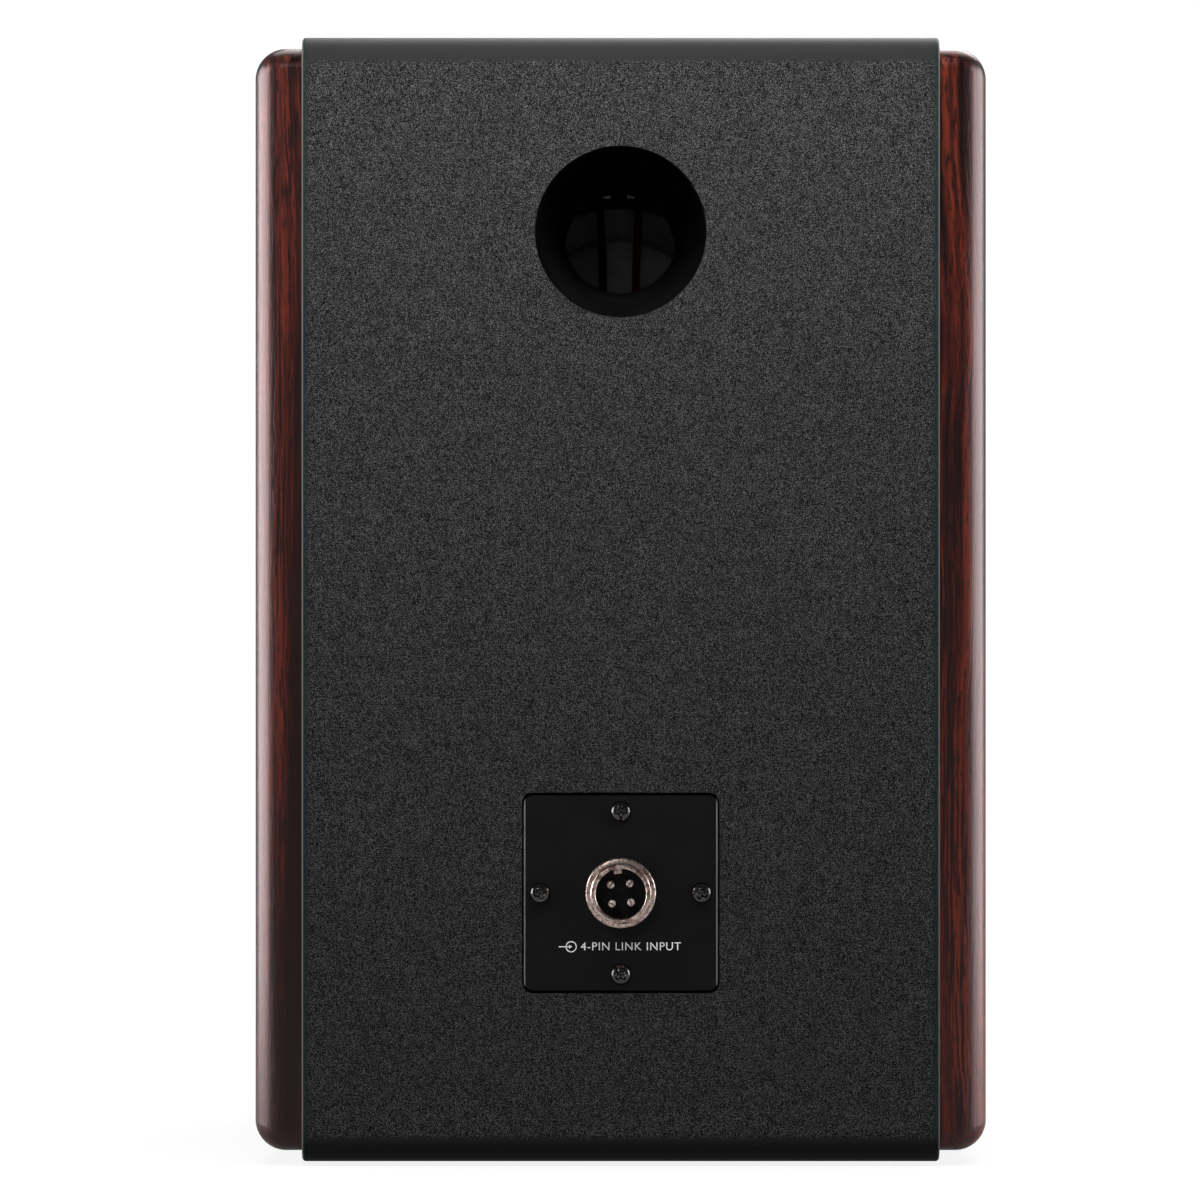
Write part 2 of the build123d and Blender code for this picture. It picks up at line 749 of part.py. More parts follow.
trim_front = -1.4
trim_step = surround_plane - surround_thick / 2
with BuildPart() as woofer_trim_ring:
    with BuildSketch(woofer_section):
        with BuildLine():
            Polyline(
                (62.6, trim_step),
                (62.6, 0.0),
                (64.4, trim_front),
                (72.2, trim_front),
                (73.0, trim_front + 0.8),
                (73.0, 0.0),
                (66.9, 0.0),
                (66.9, trim_step),
                close=True,
            )
        make_face()
    revolve(axis=axis_of(woofer_section))
    with BuildSketch(front_face.offset(-trim_front)):
        with Locations((0, woofer_z)):
            with PolarLocations(woofer_screw_circle, 6, start_angle=woofer_screw_turn):
                Circle(2.2)
    extrude(amount=-3.0, mode=Mode.SUBTRACT)
write(woofer_trim_ring, "woofer_trim_ring")


def cap_screws(height, circle, count, turn, head, head_rise, shank, reach, seat):
    """Hexagon-socket cap screws on a circle round a driver, with their heads on the `seat` depth."""
    with BuildPart() as screws:
        with BuildSketch(front_face.offset(-seat)):
            with Locations((0, height)):
                with PolarLocations(circle, count, start_angle=turn):
                    Circle(head)
        extrude(amount=head_rise)
        fillet(screws.faces().sort_by(Axis.Y)[:count].edges(), 0.5)
        with BuildSketch(front_face.offset(-seat)):
            with Locations((0, height)):
                with PolarLocations(circle, count, start_angle=turn):
                    Circle(shank)
        extrude(amount=-reach)
        with BuildSketch(front_face.offset(-seat + head_rise)):
            with Locations((0, height)):
                with PolarLocations(circle, count, start_angle=turn):
                    RegularPolygon(head * 0.5, 6)
        extrude(amount=-(head_rise - 0.5), mode=Mode.SUBTRACT)
    return screws


woofer_screws = cap_screws(
    woofer_z, woofer_screw_circle, 6, woofer_screw_turn, 3.0, 2.0, woofer_screw_pilot, 15.0, trim_front
)
write(woofer_screws, "woofer_screws")

roll_middle = (roll_inner + roll_outer) / 2
roll_radius = (roll_outer - roll_inner) / 2
outer_roll = roll_radius + surround_thick / 2
inner_roll = roll_radius - surround_thick / 2
near = surround_plane - surround_thick / 2
far = surround_plane + surround_thick / 2

with BuildPart() as woofer_surround:
    with BuildSketch(woofer_section):
        with BuildLine():
            Line((cone_lip, near), (roll_middle - outer_roll, near))
            ThreePointArc(
                (roll_middle - outer_roll, near),
                (roll_middle, near - outer_roll),
                (roll_middle + outer_roll, near),
            )
            Polyline(
                (roll_middle + outer_roll, near),
                (surround_rim, near),
                (surround_rim, far),
                (roll_middle + inner_roll, far),
                (roll_middle + inner_roll, near),
            )
            ThreePointArc(
                (roll_middle + inner_roll, near),
                (roll_middle, near - inner_roll),
                (roll_middle - inner_roll, near),
            )
            Polyline(
                (roll_middle - inner_roll, near),
                (roll_middle - inner_roll, far),
                (cone_lip, far),
                (cone_lip, near),
            )
        make_face()
    revolve(axis=axis_of(woofer_section))
write(woofer_surround, "woofer_surround")

cone_front = far
cone_base = cone_neck[1]
woofer_cone = turned(
    woofer_section,
    (cone_rim, cone_front),
    (cone_rim, cone_front + cone_thick),
    (cone_lip - 0.3, cone_front + cone_thick),
    (cone_neck[0], cone_base + cone_thick),
    (coil_radius + former, cone_base + cone_thick),
    (coil_radius + former, cone_base),
    (cone_neck[0] - 0.4, cone_base),
    (cone_lip, cone_front),
)
write(woofer_cone, "woofer_cone")

cone_slope = (cone_base - cone_front) / (cone_lip - (cone_neck[0] - 0.4))
cap_seat = cone_front + (cone_lip - cap_radius) * cone_slope
woofer_dust_cap = spherical_cap(woofer_section, cap_radius, cap_rise, cap_seat - 0.2, 0.6, 0.1)
write(woofer_dust_cap, "woofer_dust_cap")

coil_end = 47.5
woofer_coil_former = turned(
    woofer_section,
    (coil_radius, cone_base - 1.5),
    (coil_radius + former, cone_base - 1.5),
    (coil_radius + former, coil_end),
    (coil_radius, coil_end),
)
write(woofer_coil_former, "woofer_coil_former")

woofer_coil_winding = turned(
    woofer_section,
    (coil_radius + former, 35.0),
    (coil_radius + former + winding, 35.0),
    (coil_radius + former + winding, 47.0),
    (coil_radius + former, 47.0),
)
write(woofer_coil_winding, "woofer_coil_winding")

# The spider's corrugations are arcs, alternately towards the front and the back.
spider_waves = 4
wave_height = 1.3
wave_inner = 17.0
wave_outer = 41.0
half_wave = (wave_outer - wave_inner) / (2 * spider_waves)
with BuildPart() as woofer_spider:
    hub = coil_radius + former
    with BuildSketch(woofer_section):
        with BuildLine():
            for shift in (0, spider_thick):
                level = spider_depth + shift
                Line((hub, level), (wave_inner, level))
                for number in range(2 * spider_waves):
                    near_end = wave_inner + number * half_wave
                    crest = level - wave_height * (-1) ** number
                    ThreePointArc(
                        (near_end, level), (near_end + half_wave / 2, crest), (near_end + half_wave, level)
                    )
                Line((wave_outer, level), (spider_rim, level))
            Line((hub, spider_depth), (hub, spider_depth + spider_thick))
            Line((spider_rim, spider_depth), (spider_rim, spider_depth + spider_thick))
        make_face()
    revolve(axis=axis_of(woofer_section))
write(woofer_spider, "woofer_spider")

magnet_front = basket_rear + top_plate_thick
yoke_front = magnet_front + magnet_thick
woofer_top_plate = turned(
    woofer_section,
    (plate_bore, basket_rear),
    (42.0, basket_rear),
    (42.0, magnet_front),
    (plate_bore, magnet_front),
)
write(woofer_top_plate, "woofer_top_plate")

with BuildPart() as woofer_magnet:
    with BuildSketch(woofer_section):
        with BuildLine():
            Polyline((22, magnet_front), (45, magnet_front), (45, yoke_front), (22, yoke_front), close=True)
        make_face()
    revolve(axis=axis_of(woofer_section))
    chamfer(woofer_magnet.edges().filter_by(GeomType.CIRCLE), 0.8)
write(woofer_magnet, "woofer_magnet")

woofer_yoke = turned(
    woofer_section,
    (4.0, basket_rear),
    (pole_radius, basket_rear),
    (pole_radius, yoke_front),
    (42.0, yoke_front),
    (42.0, yoke_front + yoke_thick - 1),
    (41.0, yoke_front + yoke_thick),
    (6.0, yoke_front + yoke_thick),
    (4.0, yoke_front + yoke_thick - 2),
)
write(woofer_yoke, "woofer_yoke")

# ---- Tweeter ----------------------------------------------------------------------------------
dome_radius = 12.8
dome_rise = 4.6
dome_plane = 8.2  # depth of the dome's rim
dome_thick = 0.4
dome_skirt = 0.3
hub_rear = 8.2
faceplate_radius = 50.0
faceplate_thick = 4.6
throat_radius = 16.0
waveguide_radius = 33.0
tweeter_top = 8.6
tweeter_top_thick = 4.0
tweeter_magnet_thick = 12.0
tweeter_yoke_thick = 5.0
tweeter_motor_radius = 36.0

with BuildPart() as tweeter_faceplate:
    with BuildSketch(tweeter_section):
        with BuildLine():
            Line((faceplate_radius, 0.5), (faceplate_radius - 0.5, 0))
            Line((faceplate_radius - 0.5, 0), (waveguide_radius, 0))
            Bezier((waveguide_radius, 0), (26.0, 0.6), (19.5, 3.0), (throat_radius, 6.8))
            Polyline(
                (throat_radius, 6.8),
                (throat_radius, hub_rear),
                (30.0, hub_rear),
                (30.0, faceplate_thick),
                (faceplate_radius, faceplate_thick),
                (faceplate_radius, 0.5),
            )
        make_face()
    revolve(axis=axis_of(tweeter_section))
    with BuildSketch(front_face):
        with Locations((0, tweeter_z)):
            with PolarLocations(tweeter_screw_circle, 4, start_angle=tweeter_screw_turn):
                Circle(3.2)
    extrude(amount=-2.0, mode=Mode.SUBTRACT)
    with BuildSketch(front_face):
        with Locations((0, tweeter_z)):
            with PolarLocations(tweeter_screw_circle, 4, start_angle=tweeter_screw_turn):
                Circle(1.8)
    extrude(amount=-faceplate_thick, mode=Mode.SUBTRACT)
write(tweeter_faceplate, "tweeter_faceplate")

tweeter_screws = cap_screws(
    tweeter_z, tweeter_screw_circle, 4, tweeter_screw_turn, 2.8, 1.9, tweeter_screw_pilot, 11.5, 2.0
)
write(tweeter_screws, "tweeter_screws")

with BuildPart() as tweeter_surround:
    with BuildSketch(tweeter_section):
        roll_in = dome_radius
        roll_out = 15.7
        mid = (roll_in + roll_out) / 2
        reach = (roll_out - roll_in) / 2
        with BuildLine():
            ThreePointArc((roll_in, dome_plane), (mid, dome_plane - reach), (roll_out, dome_plane))
            Polyline(
                (roll_out, dome_plane),
                (18.0, dome_plane),
                (18.0, tweeter_top),
                (roll_out - 0.3, tweeter_top),
                (roll_out - 0.4, dome_plane),
            )
            ThreePointArc(
                (roll_out - 0.4, dome_plane), (mid, dome_plane - reach + 0.4), (roll_in + 0.4, dome_plane)
            )
            Polyline(
                (roll_in + 0.4, dome_plane),
                (roll_in + 0.2, dome_plane + dome_skirt),
                (roll_in, dome_plane + dome_skirt),
                (roll_in, dome_plane),
            )
        make_face()
    revolve(axis=axis_of(tweeter_section))
write(tweeter_surround, "tweeter_surround")

tweeter_coil_radius = 12.3
tweeter_dome = spherical_cap(tweeter_section, dome_radius, dome_rise, dome_plane, dome_thick, dome_skirt)
write(tweeter_dome, "tweeter_dome")

with BuildPart() as tweeter_voice_coil:
    with BuildSketch(tweeter_section):
        with BuildLine():
            Polyline(
                (tweeter_coil_radius, dome_plane + dome_skirt),
                (tweeter_coil_radius + 0.2, dome_plane + dome_skirt),
                (tweeter_coil_radius + 0.2, 9.2),
                (tweeter_coil_radius + 0.5, 9.2),
                (tweeter_coil_radius + 0.5, 12.2),
                (tweeter_coil_radius + 0.2, 12.2),
                (tweeter_coil_radius + 0.2, 14.0),
                (tweeter_coil_radius, 14.0),
                close=True,
            )
        make_face()
    revolve(axis=axis_of(tweeter_section))
write(tweeter_voice_coil, "tweeter_voice_coil")

tweeter_magnet_front = tweeter_top + tweeter_top_thick
tweeter_yoke_front = tweeter_magnet_front + tweeter_magnet_thick
tweeter_rear = tweeter_yoke_front + tweeter_yoke_thick
tweeter_top_plate = turned(
    tweeter_section,
    (13.1, tweeter_top),
    (tweeter_motor_radius - 2, tweeter_top),
    (tweeter_motor_radius - 2, tweeter_magnet_front),
    (13.1, tweeter_magnet_front),
)
write(tweeter_top_plate, "tweeter_top_plate")

tweeter_magnet = turned(
    tweeter_section,
    (18.0, tweeter_magnet_front),
    (tweeter_motor_radius, tweeter_magnet_front),
    (tweeter_motor_radius, tweeter_yoke_front),
    (18.0, tweeter_yoke_front),
)
write(tweeter_magnet, "tweeter_magnet")

tweeter_yoke = turned(
    tweeter_section,
    (3.0, tweeter_top),
    (11.85, tweeter_top),
    (11.85, tweeter_yoke_front),
    (tweeter_motor_radius - 2, tweeter_yoke_front),
    (tweeter_motor_radius - 2, tweeter_rear),
    (3.0, tweeter_rear),
)
write(tweeter_yoke, "tweeter_yoke")

tweeter_rear_chamber = turned(
    tweeter_section,
    (23.0, tweeter_rear),
    (25.0, tweeter_rear),
    (25.0, tweeter_rear + 11),
    (24.0, tweeter_rear + 12),
    (0.0, tweeter_rear + 12),
    (0.0, tweeter_rear + 10),
    (23.0, tweeter_rear + 10),
)
write(tweeter_rear_chamber, "tweeter_rear_chamber")

# ---- Terminals --------------------------------------------------------------------------------
strip_thick = 1.6
strip_saddle = 1.9
strip_width = 22.0
tab_thick = 0.8
tab_width = 4.8
tab_places = (-5.5, 5.5)
crimp = (6.2, 13.0, 2.8)
# Each driver's strip sits on its round body: the body's middle and radius, and the depths where the
# strip starts, where it ends and where its tabs end.
driver_strips = {
    "woofer": (woofer_z, 49.5, 33.0, 38.0, 48.0),
    "tweeter": (tweeter_z, tweeter_motor_radius, 18.6, 23.6, 33.6),
}
wire_starts = {}
for driver, (centre, radius, near_end, far_end, tab_end) in driver_strips.items():
    seat = centre + radius
    with BuildPart() as terminal_strip:
        low = (-strip_width / 2, front + near_end, seat - strip_saddle)
        centred_block(low, (strip_width / 2, front + far_end, seat + strip_thick))
        with BuildSketch(front_face.offset(-near_end)):
            with Locations((0, centre)):
                Circle(radius)
        extrude(amount=-(far_end - near_end), mode=Mode.SUBTRACT)
    write(terminal_strip, f"{driver}_terminal_strip")
    wire_starts[driver] = (front + tab_end + 5, seat + strip_thick + tab_thick / 2)

with BuildPart() as terminal_tabs:
    for centre, radius, near_end, far_end, tab_end in driver_strips.values():
        base = centre + radius + strip_thick
        for x in tab_places:
            low = (x - tab_width / 2, front + near_end + 0.5, base)
            centred_block(low, (x + tab_width / 2, front + tab_end, base + tab_thick))
write(terminal_tabs, "terminal_tabs")

with BuildPart() as push_on_terminals:
    for centre, radius, near_end, far_end, tab_end in driver_strips.values():
        height = centre + radius + strip_thick + tab_thick / 2
        end = front + tab_end + 5
        tab_reach = front + tab_end
        for x in tab_places:
            low = (x - crimp[0] / 2, tab_reach - crimp[1] + 5, height - crimp[2] / 2)
            centred_block(low, (x + crimp[0] / 2, end, height + crimp[2] / 2))
        for x in tab_places:
            slot_low = (x - tab_width / 2, tab_reach - crimp[1] + 5, height - tab_thick / 2)
            slot_high = (x + tab_width / 2, tab_reach, height + tab_thick / 2)
            centred_block(slot_low, slot_high, mode=Mode.SUBTRACT)
write(push_on_terminals, "push_on_terminals")


# ---- Leads ------------------------------------------------------------------------------------
def corner_radii(points):
    """The largest arc that each corner's two runs allow: 0.45 of the shorter run over tan(half the turn)."""
    radii = []
    for before, at, after in zip(points, points[1:], points[2:]):
        run_in = Vector(*at) - Vector(*before)
        run_out = Vector(*after) - Vector(*at)
        half_turn = math.radians(run_in.get_angle(run_out)) / 2
        radii.append(0.45 * min(run_in.length, run_out.length) / math.tan(half_turn))
    return radii


def lead(name, points):
    """A round wire along straight runs joined by arcs."""
    radii = corner_radii(points)
    with BuildPart() as wire:
        with BuildLine() as route:
            FilletPolyline(*points, radius=radii)
        line = route.wires()[0]
        with BuildSketch(Plane(origin=line @ 0, z_dir=line % 0)):
            Circle(lead_radius)
        sweep()
    expected = line.length * math.pi * lead_radius**2
    print(name, "length", round(line.length), "least radius", round(min(radii), 1),
          "volume share", round(wire.part.volume / expected, 4))
    write(wire, name)


pin_points = []
for number in range(4):
    turn = math.radians(45 + 90 * number + socket_turn)
    pin_points.append((-pin_circle * math.cos(turn), plate_z + pin_circle * math.sin(turn)))
lead_start = plate_y - (insert_rear + cup_length)
floor_z = inner_floor + lead_radius + 0.1
rise_y = front + 82.0
# Upper pins feed the tweeter, lower pins the woofer. All four lie side by side under the floor clip.
leads = {
    "tweeter_lead_plus": (pin_points[0], -4.5, tab_places[0], "tweeter"),
    "tweeter_lead_minus": (pin_points[1], 4.5, tab_places[1], "tweeter"),
    "woofer_lead_minus": (pin_points[2], 1.5, tab_places[1], "woofer"),
    "woofer_lead_plus": (pin_points[3], -1.5, tab_places[0], "woofer"),
}
for name, ((pin_x, pin_z), lane, tab_x, driver) in leads.items():
    end_y, end_z = wire_starts[driver]
    points = [
        (pin_x, lead_start, pin_z),
        (pin_x, lead_start - 12, pin_z),
        (pin_x * 1.2, lead_start - 28, pin_z - 5),
        (lane * 1.3, lead_start - 46, pin_z - 26),
        (lane, lead_start - 64, floor_z + 14),
        (lane, lead_start - 84, floor_z),
        (lane, lead_start - 112, floor_z + 0.4),
        (lane * 1.2, rise_y + 10, floor_z + 18),
        (lane * 1.4, rise_y, floor_z + 48),
    ]
    if driver == "woofer":
        points += [
            (tab_x * 0.8, rise_y - 1, floor_z + 84),
            (tab_x, rise_y - 5, end_z - 8),
            (tab_x, end_y + 8, end_z),
        ]
    else:
        points += [
            (lane * 1.6, rise_y + 1, floor_z + 92),
            (lane * 1.3, rise_y - 2, floor_z + 136),
            (lane, rise_y - 3, floor_z + 180),
            (lane, rise_y - 7, floor_z + 222),
            (tab_x, rise_y - 18, end_z - 4),
            (tab_x, end_y + 9, end_z),
        ]
    points.append((tab_x, end_y, end_z))
    lead(name, points)

clip_y = lead_start - 98
clip_wall = 1.2
with BuildPart() as cable_clip:
    low = (-14, clip_y - 4, inner_floor)
    centred_block(low, (14, clip_y + 4, inner_floor + 2 * lead_radius + 0.6 + clip_wall))
    low = (-7.5, clip_y - 4, inner_floor)
    centred_block(low, (7.5, clip_y + 4, inner_floor + 2 * lead_radius + 0.6), mode=Mode.SUBTRACT)
write(cable_clip, "cable_clip")

# ---- Wadding ----------------------------------------------------------------------------------
wadding_thick = 18.0
wadding_span = (inner_floor + 16.0, bottom + 168.0)
wadding_front = front + 74.0

with BuildPart() as side_wadding:
    for sign in (-1, 1):
        near_x, far_x = sorted((sign * (inner_side - 0.3), sign * (inner_side - wadding_thick)))
        low = (near_x, wadding_front, wadding_span[0])
        centred_block(low, (far_x, inner_back - 4, wadding_span[1]))
    fillet(side_wadding.edges(), 5)
write(side_wadding, "side_wadding")

with BuildPart() as rear_wadding:
    low = (-46, inner_back - wadding_thick, plate_z + 30)
    centred_block(low, (46, inner_back - 0.3, wadding_span[1]))
    fillet(rear_wadding.edges(), 5)
write(rear_wadding, "rear_wadding")
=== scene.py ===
"""The looks of a two-way bookshelf speaker, seen from behind.

Metres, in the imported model's frame: +Z up, the front towards -Y and the back towards +Y. A viewer
behind the speaker has -X on the right.
"""

import json
import math

import bpy
from mathutils import Matrix, Vector
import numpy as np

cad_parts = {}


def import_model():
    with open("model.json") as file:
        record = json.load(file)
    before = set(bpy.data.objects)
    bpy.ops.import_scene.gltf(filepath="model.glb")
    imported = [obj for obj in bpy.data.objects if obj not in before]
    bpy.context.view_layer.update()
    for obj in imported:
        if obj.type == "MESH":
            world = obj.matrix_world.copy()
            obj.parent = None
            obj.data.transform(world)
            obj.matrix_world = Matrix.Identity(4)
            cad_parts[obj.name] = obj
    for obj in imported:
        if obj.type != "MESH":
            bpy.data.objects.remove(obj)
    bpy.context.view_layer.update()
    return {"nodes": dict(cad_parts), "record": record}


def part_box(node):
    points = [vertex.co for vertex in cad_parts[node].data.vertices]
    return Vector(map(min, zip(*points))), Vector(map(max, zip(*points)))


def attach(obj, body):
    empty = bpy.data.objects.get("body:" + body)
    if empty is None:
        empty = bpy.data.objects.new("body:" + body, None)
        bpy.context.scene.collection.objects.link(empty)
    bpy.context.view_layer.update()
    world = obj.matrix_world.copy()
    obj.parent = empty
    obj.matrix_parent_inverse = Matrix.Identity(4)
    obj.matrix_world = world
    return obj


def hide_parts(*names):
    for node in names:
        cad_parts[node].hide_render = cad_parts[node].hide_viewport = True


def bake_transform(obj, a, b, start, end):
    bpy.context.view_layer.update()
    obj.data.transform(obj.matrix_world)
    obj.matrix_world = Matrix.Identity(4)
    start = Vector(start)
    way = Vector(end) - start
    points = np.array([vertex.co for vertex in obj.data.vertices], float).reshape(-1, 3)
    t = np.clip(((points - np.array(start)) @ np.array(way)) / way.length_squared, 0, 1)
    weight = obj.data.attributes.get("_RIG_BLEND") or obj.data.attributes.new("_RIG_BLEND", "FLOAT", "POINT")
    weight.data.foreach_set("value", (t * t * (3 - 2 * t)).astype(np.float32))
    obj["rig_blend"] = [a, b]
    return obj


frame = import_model()
MM = 0.001


def add_object(name, data):
    made = bpy.data.objects.new(name, data)
    bpy.context.collection.objects.link(made)
    return made


# ---- Places, from the frame ---------------------------------------------------------------------


def corners(node):
    """The lowest and highest corner of a CAD node as vectors."""
    low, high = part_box(node)
    return Vector(low), Vector(high)


def centre(node):
    low, high = corners(node)
    return (low + high) / 2


body_low, body_high = corners("wrap_film")
back_y = body_high.y
front_y = corners("front_baffle")[0].y
half_width = body_high.x
body_middle_z = (body_low.z + body_high.z) / 2
plate_y = corners("link_plate")[1].y
plate_centre = centre("link_plate")
woofer_z = centre("woofer_cone").z
tweeter_z = centre("tweeter_faceplate").z
rear_radius = 7 * MM

# ---- Camera -------------------------------------------------------------------------------------
# Square on the back and level with its middle, a little to one side of it.
SENSOR = 36.0
CAMERA_DISTANCE = 2.2
VIEW_WIDTH = 0.312
SIDE_STEP = 5.4 * MM

camera_data = bpy.data.cameras.new("camera")
camera_data.sensor_width = SENSOR
camera_data.lens = SENSOR * CAMERA_DISTANCE / VIEW_WIDTH
camera_data.clip_end = 50
camera = add_object("camera", camera_data)
camera.location = (SIDE_STEP, back_y + CAMERA_DISTANCE, body_middle_z)
camera.rotation_euler = (math.radians(90), 0, math.radians(180))
bpy.context.scene.camera = camera
bpy.context.scene.view_settings.view_transform = "Standard"


# ---- Node trees ---------------------------------------------------------------------------------
class Finish:
    """A material around one Principled shader, with short calls for its nodes."""

    def __init__(self, name, rough=0.5, metal=0.0, **fixed):
        self.material = bpy.data.materials.new(name)
        self.material.use_nodes = True
        self.nodes = self.material.node_tree.nodes
        self.links = self.material.node_tree.links
        self.shader = self.nodes["Principled BSDF"]
        self.shader.inputs["Roughness"].default_value = rough
        self.shader.inputs["Metallic"].default_value = metal
        for socket, value in fixed.items():
            self.shader.inputs[socket.replace("_", " ")].default_value = value
        self.place = self.nodes.new("ShaderNodeTexCoord").outputs["Object"]

    def put(self, socket, value):
        """Links a socket to an output, or sets its value."""
        if isinstance(value, bpy.types.NodeSocket):
            self.links.new(value, socket)
        else:
            socket.default_value = value

    def node(self, kind, *values, output=0, **settings):
        made = self.nodes.new("ShaderNode" + kind)
        for key, value in settings.items():
            setattr(made, key, value)
        for socket, value in zip(made.inputs, values):
            if value is not None:
                self.put(socket, value)
        return made.outputs[output]

    def math(self, operation, *values):
        return self.node("Math", *values, operation=operation)

    def axes(self):
        """The place's X, Y and Z."""
        made = self.nodes.new("ShaderNodeSeparateXYZ")
        self.put(made.inputs[0], self.place)
        return made.outputs

    def about_half(self, value, reach):
        """A value that goes from 0 to 1, moved to lie evenly about 0 and scaled by `reach`."""
        return self.math("MULTIPLY", self.math("SUBTRACT", value, 0.5), reach)

    def stretched(self, scale, place=None):
        return self.node("Mapping", place or self.place, None, None, scale)

    def noise(self, size, detail=2.0, rough=0.5, warp=0.0, place=None):
        """Noise whose features are about `size` metres across."""
        made = self.nodes.new("ShaderNodeTexNoise")
        self.put(made.inputs["Vector"], place or self.place)
        made.inputs["Scale"].default_value = 1 / size
        made.inputs["Detail"].default_value = detail
        made.inputs["Roughness"].default_value = rough
        made.inputs["Distortion"].default_value = warp
        return made.outputs["Fac"]

    def ramp(self, value, *stops):
        """Colours or greys along a value: (position, colour) pairs."""
        made = self.nodes.new("ShaderNodeValToRGB")
        elements = made.color_ramp.elements
        while len(elements) < len(stops):
            elements.new(0.5)
        for element, (position, colour) in zip(elements, stops):
            element.position = position
            grey = isinstance(colour, (int, float))
            element.color = (colour, colour, colour, 1) if grey else (*colour, 1)
        self.put(made.inputs[0], value)
        return made.outputs["Color"]

    def between(self, value, low, high):
        """A smooth rise from 0 at `low` to 1 at `high`."""
        made = self.nodes.new("ShaderNodeMapRange")
        made.interpolation_type = "SMOOTHSTEP"
        self.put(made.inputs["Value"], value)
        made.inputs["From Min"].default_value = low
        made.inputs["From Max"].default_value = high
        return made.outputs["Result"]

    def mix(self, share, first, second):
        made = self.nodes.new("ShaderNodeMix")
        made.data_type = "RGBA"
        self.put(made.inputs["Factor"], share)
        for socket, value in ((made.inputs[6], first), (made.inputs[7], second)):
            if isinstance(value, tuple):
                value = (*value, 1)
            self.put(socket, value)
        return made.outputs[2]

    def colour(self, value):
        self.put(self.shader.inputs["Base Color"], value)

    def rough(self, value, low, high):
        """Roughness between `low` and `high` as a value goes from 0 to 1."""
        made = self.nodes.new("ShaderNodeMapRange")
        self.put(made.inputs["Value"], value)
        made.inputs["To Min"].default_value = low
        made.inputs["To Max"].default_value = high
        self.links.new(made.outputs["Result"], self.shader.inputs["Roughness"])

    def bump(self, height, depth, strength=1.0):
        """Bump of `depth` metres as the height goes from 0 to 1, on top of any bump so far."""
        made = self.nodes.new("ShaderNodeBump")
        made.inputs["Strength"].default_value = strength
        made.inputs["Distance"].default_value = depth
        self.put(made.inputs["Height"], height)
        normal = self.shader.inputs["Normal"]
        if normal.is_linked:
            self.links.new(normal.links[0].from_socket, made.inputs["Normal"])
        self.links.new(made.outputs["Normal"], normal)


def mottled(name, dark, light, size, rough, depth, bump_size=None, metal=0.0, **fixed):
    """A finish whose colour and gloss wander between two tones, with a fine surface `depth` high."""
    made = Finish(name, metal=metal, **fixed)
    cloud = made.noise(size, 4, 0.6)
    made.colour(made.ramp(cloud, (0.32, dark), (0.68, light)))
    made.rough(cloud, *rough)
    made.bump(made.noise(bump_size or size / 6, 3, 0.6), depth)
    return made.material


# ---- Materials ----------------------------------------------------------------------------------
def film_material():
    """Fine-grained vinyl: pale grains on black, smooth where it bends over the back's top and bottom."""
    made = Finish("textured_wrap", Specular_IOR_Level=0.11)
    x, y, z = made.axes()
    level = made.math("ABSOLUTE", made.math("SUBTRACT", z, body_middle_z))
    bend_level = (body_high.z - body_low.z) / 2 - rear_radius
    ragged = made.math("MULTIPLY", made.noise(0.9 * MM), 1.6 * MM)
    fade = 0.9 * MM
    inside = made.math("SUBTRACT", bend_level + 1.3 * MM, made.math("ADD", level, ragged))
    in_front = made.math("SUBTRACT", back_y - rear_radius, y)
    flat = made.math("MAXIMUM", made.between(inside, -fade, fade), made.between(in_front, -fade, fade))
    grain = made.noise(0.185 * MM, 1.0)
    patch = made.noise(2.4 * MM)
    grains = made.ramp(
        made.math("ADD", grain, made.about_half(patch, 0.07)),
        (0.48, 0.0001),
        (0.552, (0.0012, 0.0013, 0.0013)),
        (0.608, (0.088, 0.088, 0.087)),
    )
    base = made.mix(flat, (0.0120, 0.0124, 0.0124), grains)
    aside = made.math("ABSOLUTE", x)
    # Near the side edges a teal and green tint is mixed in: a painted reflection.
    painted_reflection_band = made.between(aside, half_width - 2.6 * MM, half_width - 0.5 * MM)
    painted_reflection_cloud = made.noise(38 * MM)
    edge = made.ramp(painted_reflection_cloud, (0.4, (0.0045, 0.0105, 0.0135)), (0.6, (0.005, 0.0115, 0.0095)))
    with_painted_reflection = made.mix(made.math("MULTIPLY", painted_reflection_band, 0.75), base, edge)
    # A thin warm grey line at the very side edges is a painted highlight.
    cut = made.between(aside, half_width - 0.45 * MM, half_width - 0.25 * MM)
    made.colour(made.mix(cut, with_painted_reflection, (0.075, 0.068, 0.062)))
    made.rough(made.math("MULTIPLY", flat, grain), 0.5, 0.75)
    made.bump(made.math("MULTIPLY", flat, grain), 0.10 * MM, 0.8)
    made.bump(made.noise(2.2 * MM, 3), 0.015 * MM, 0.5)
    return made.material


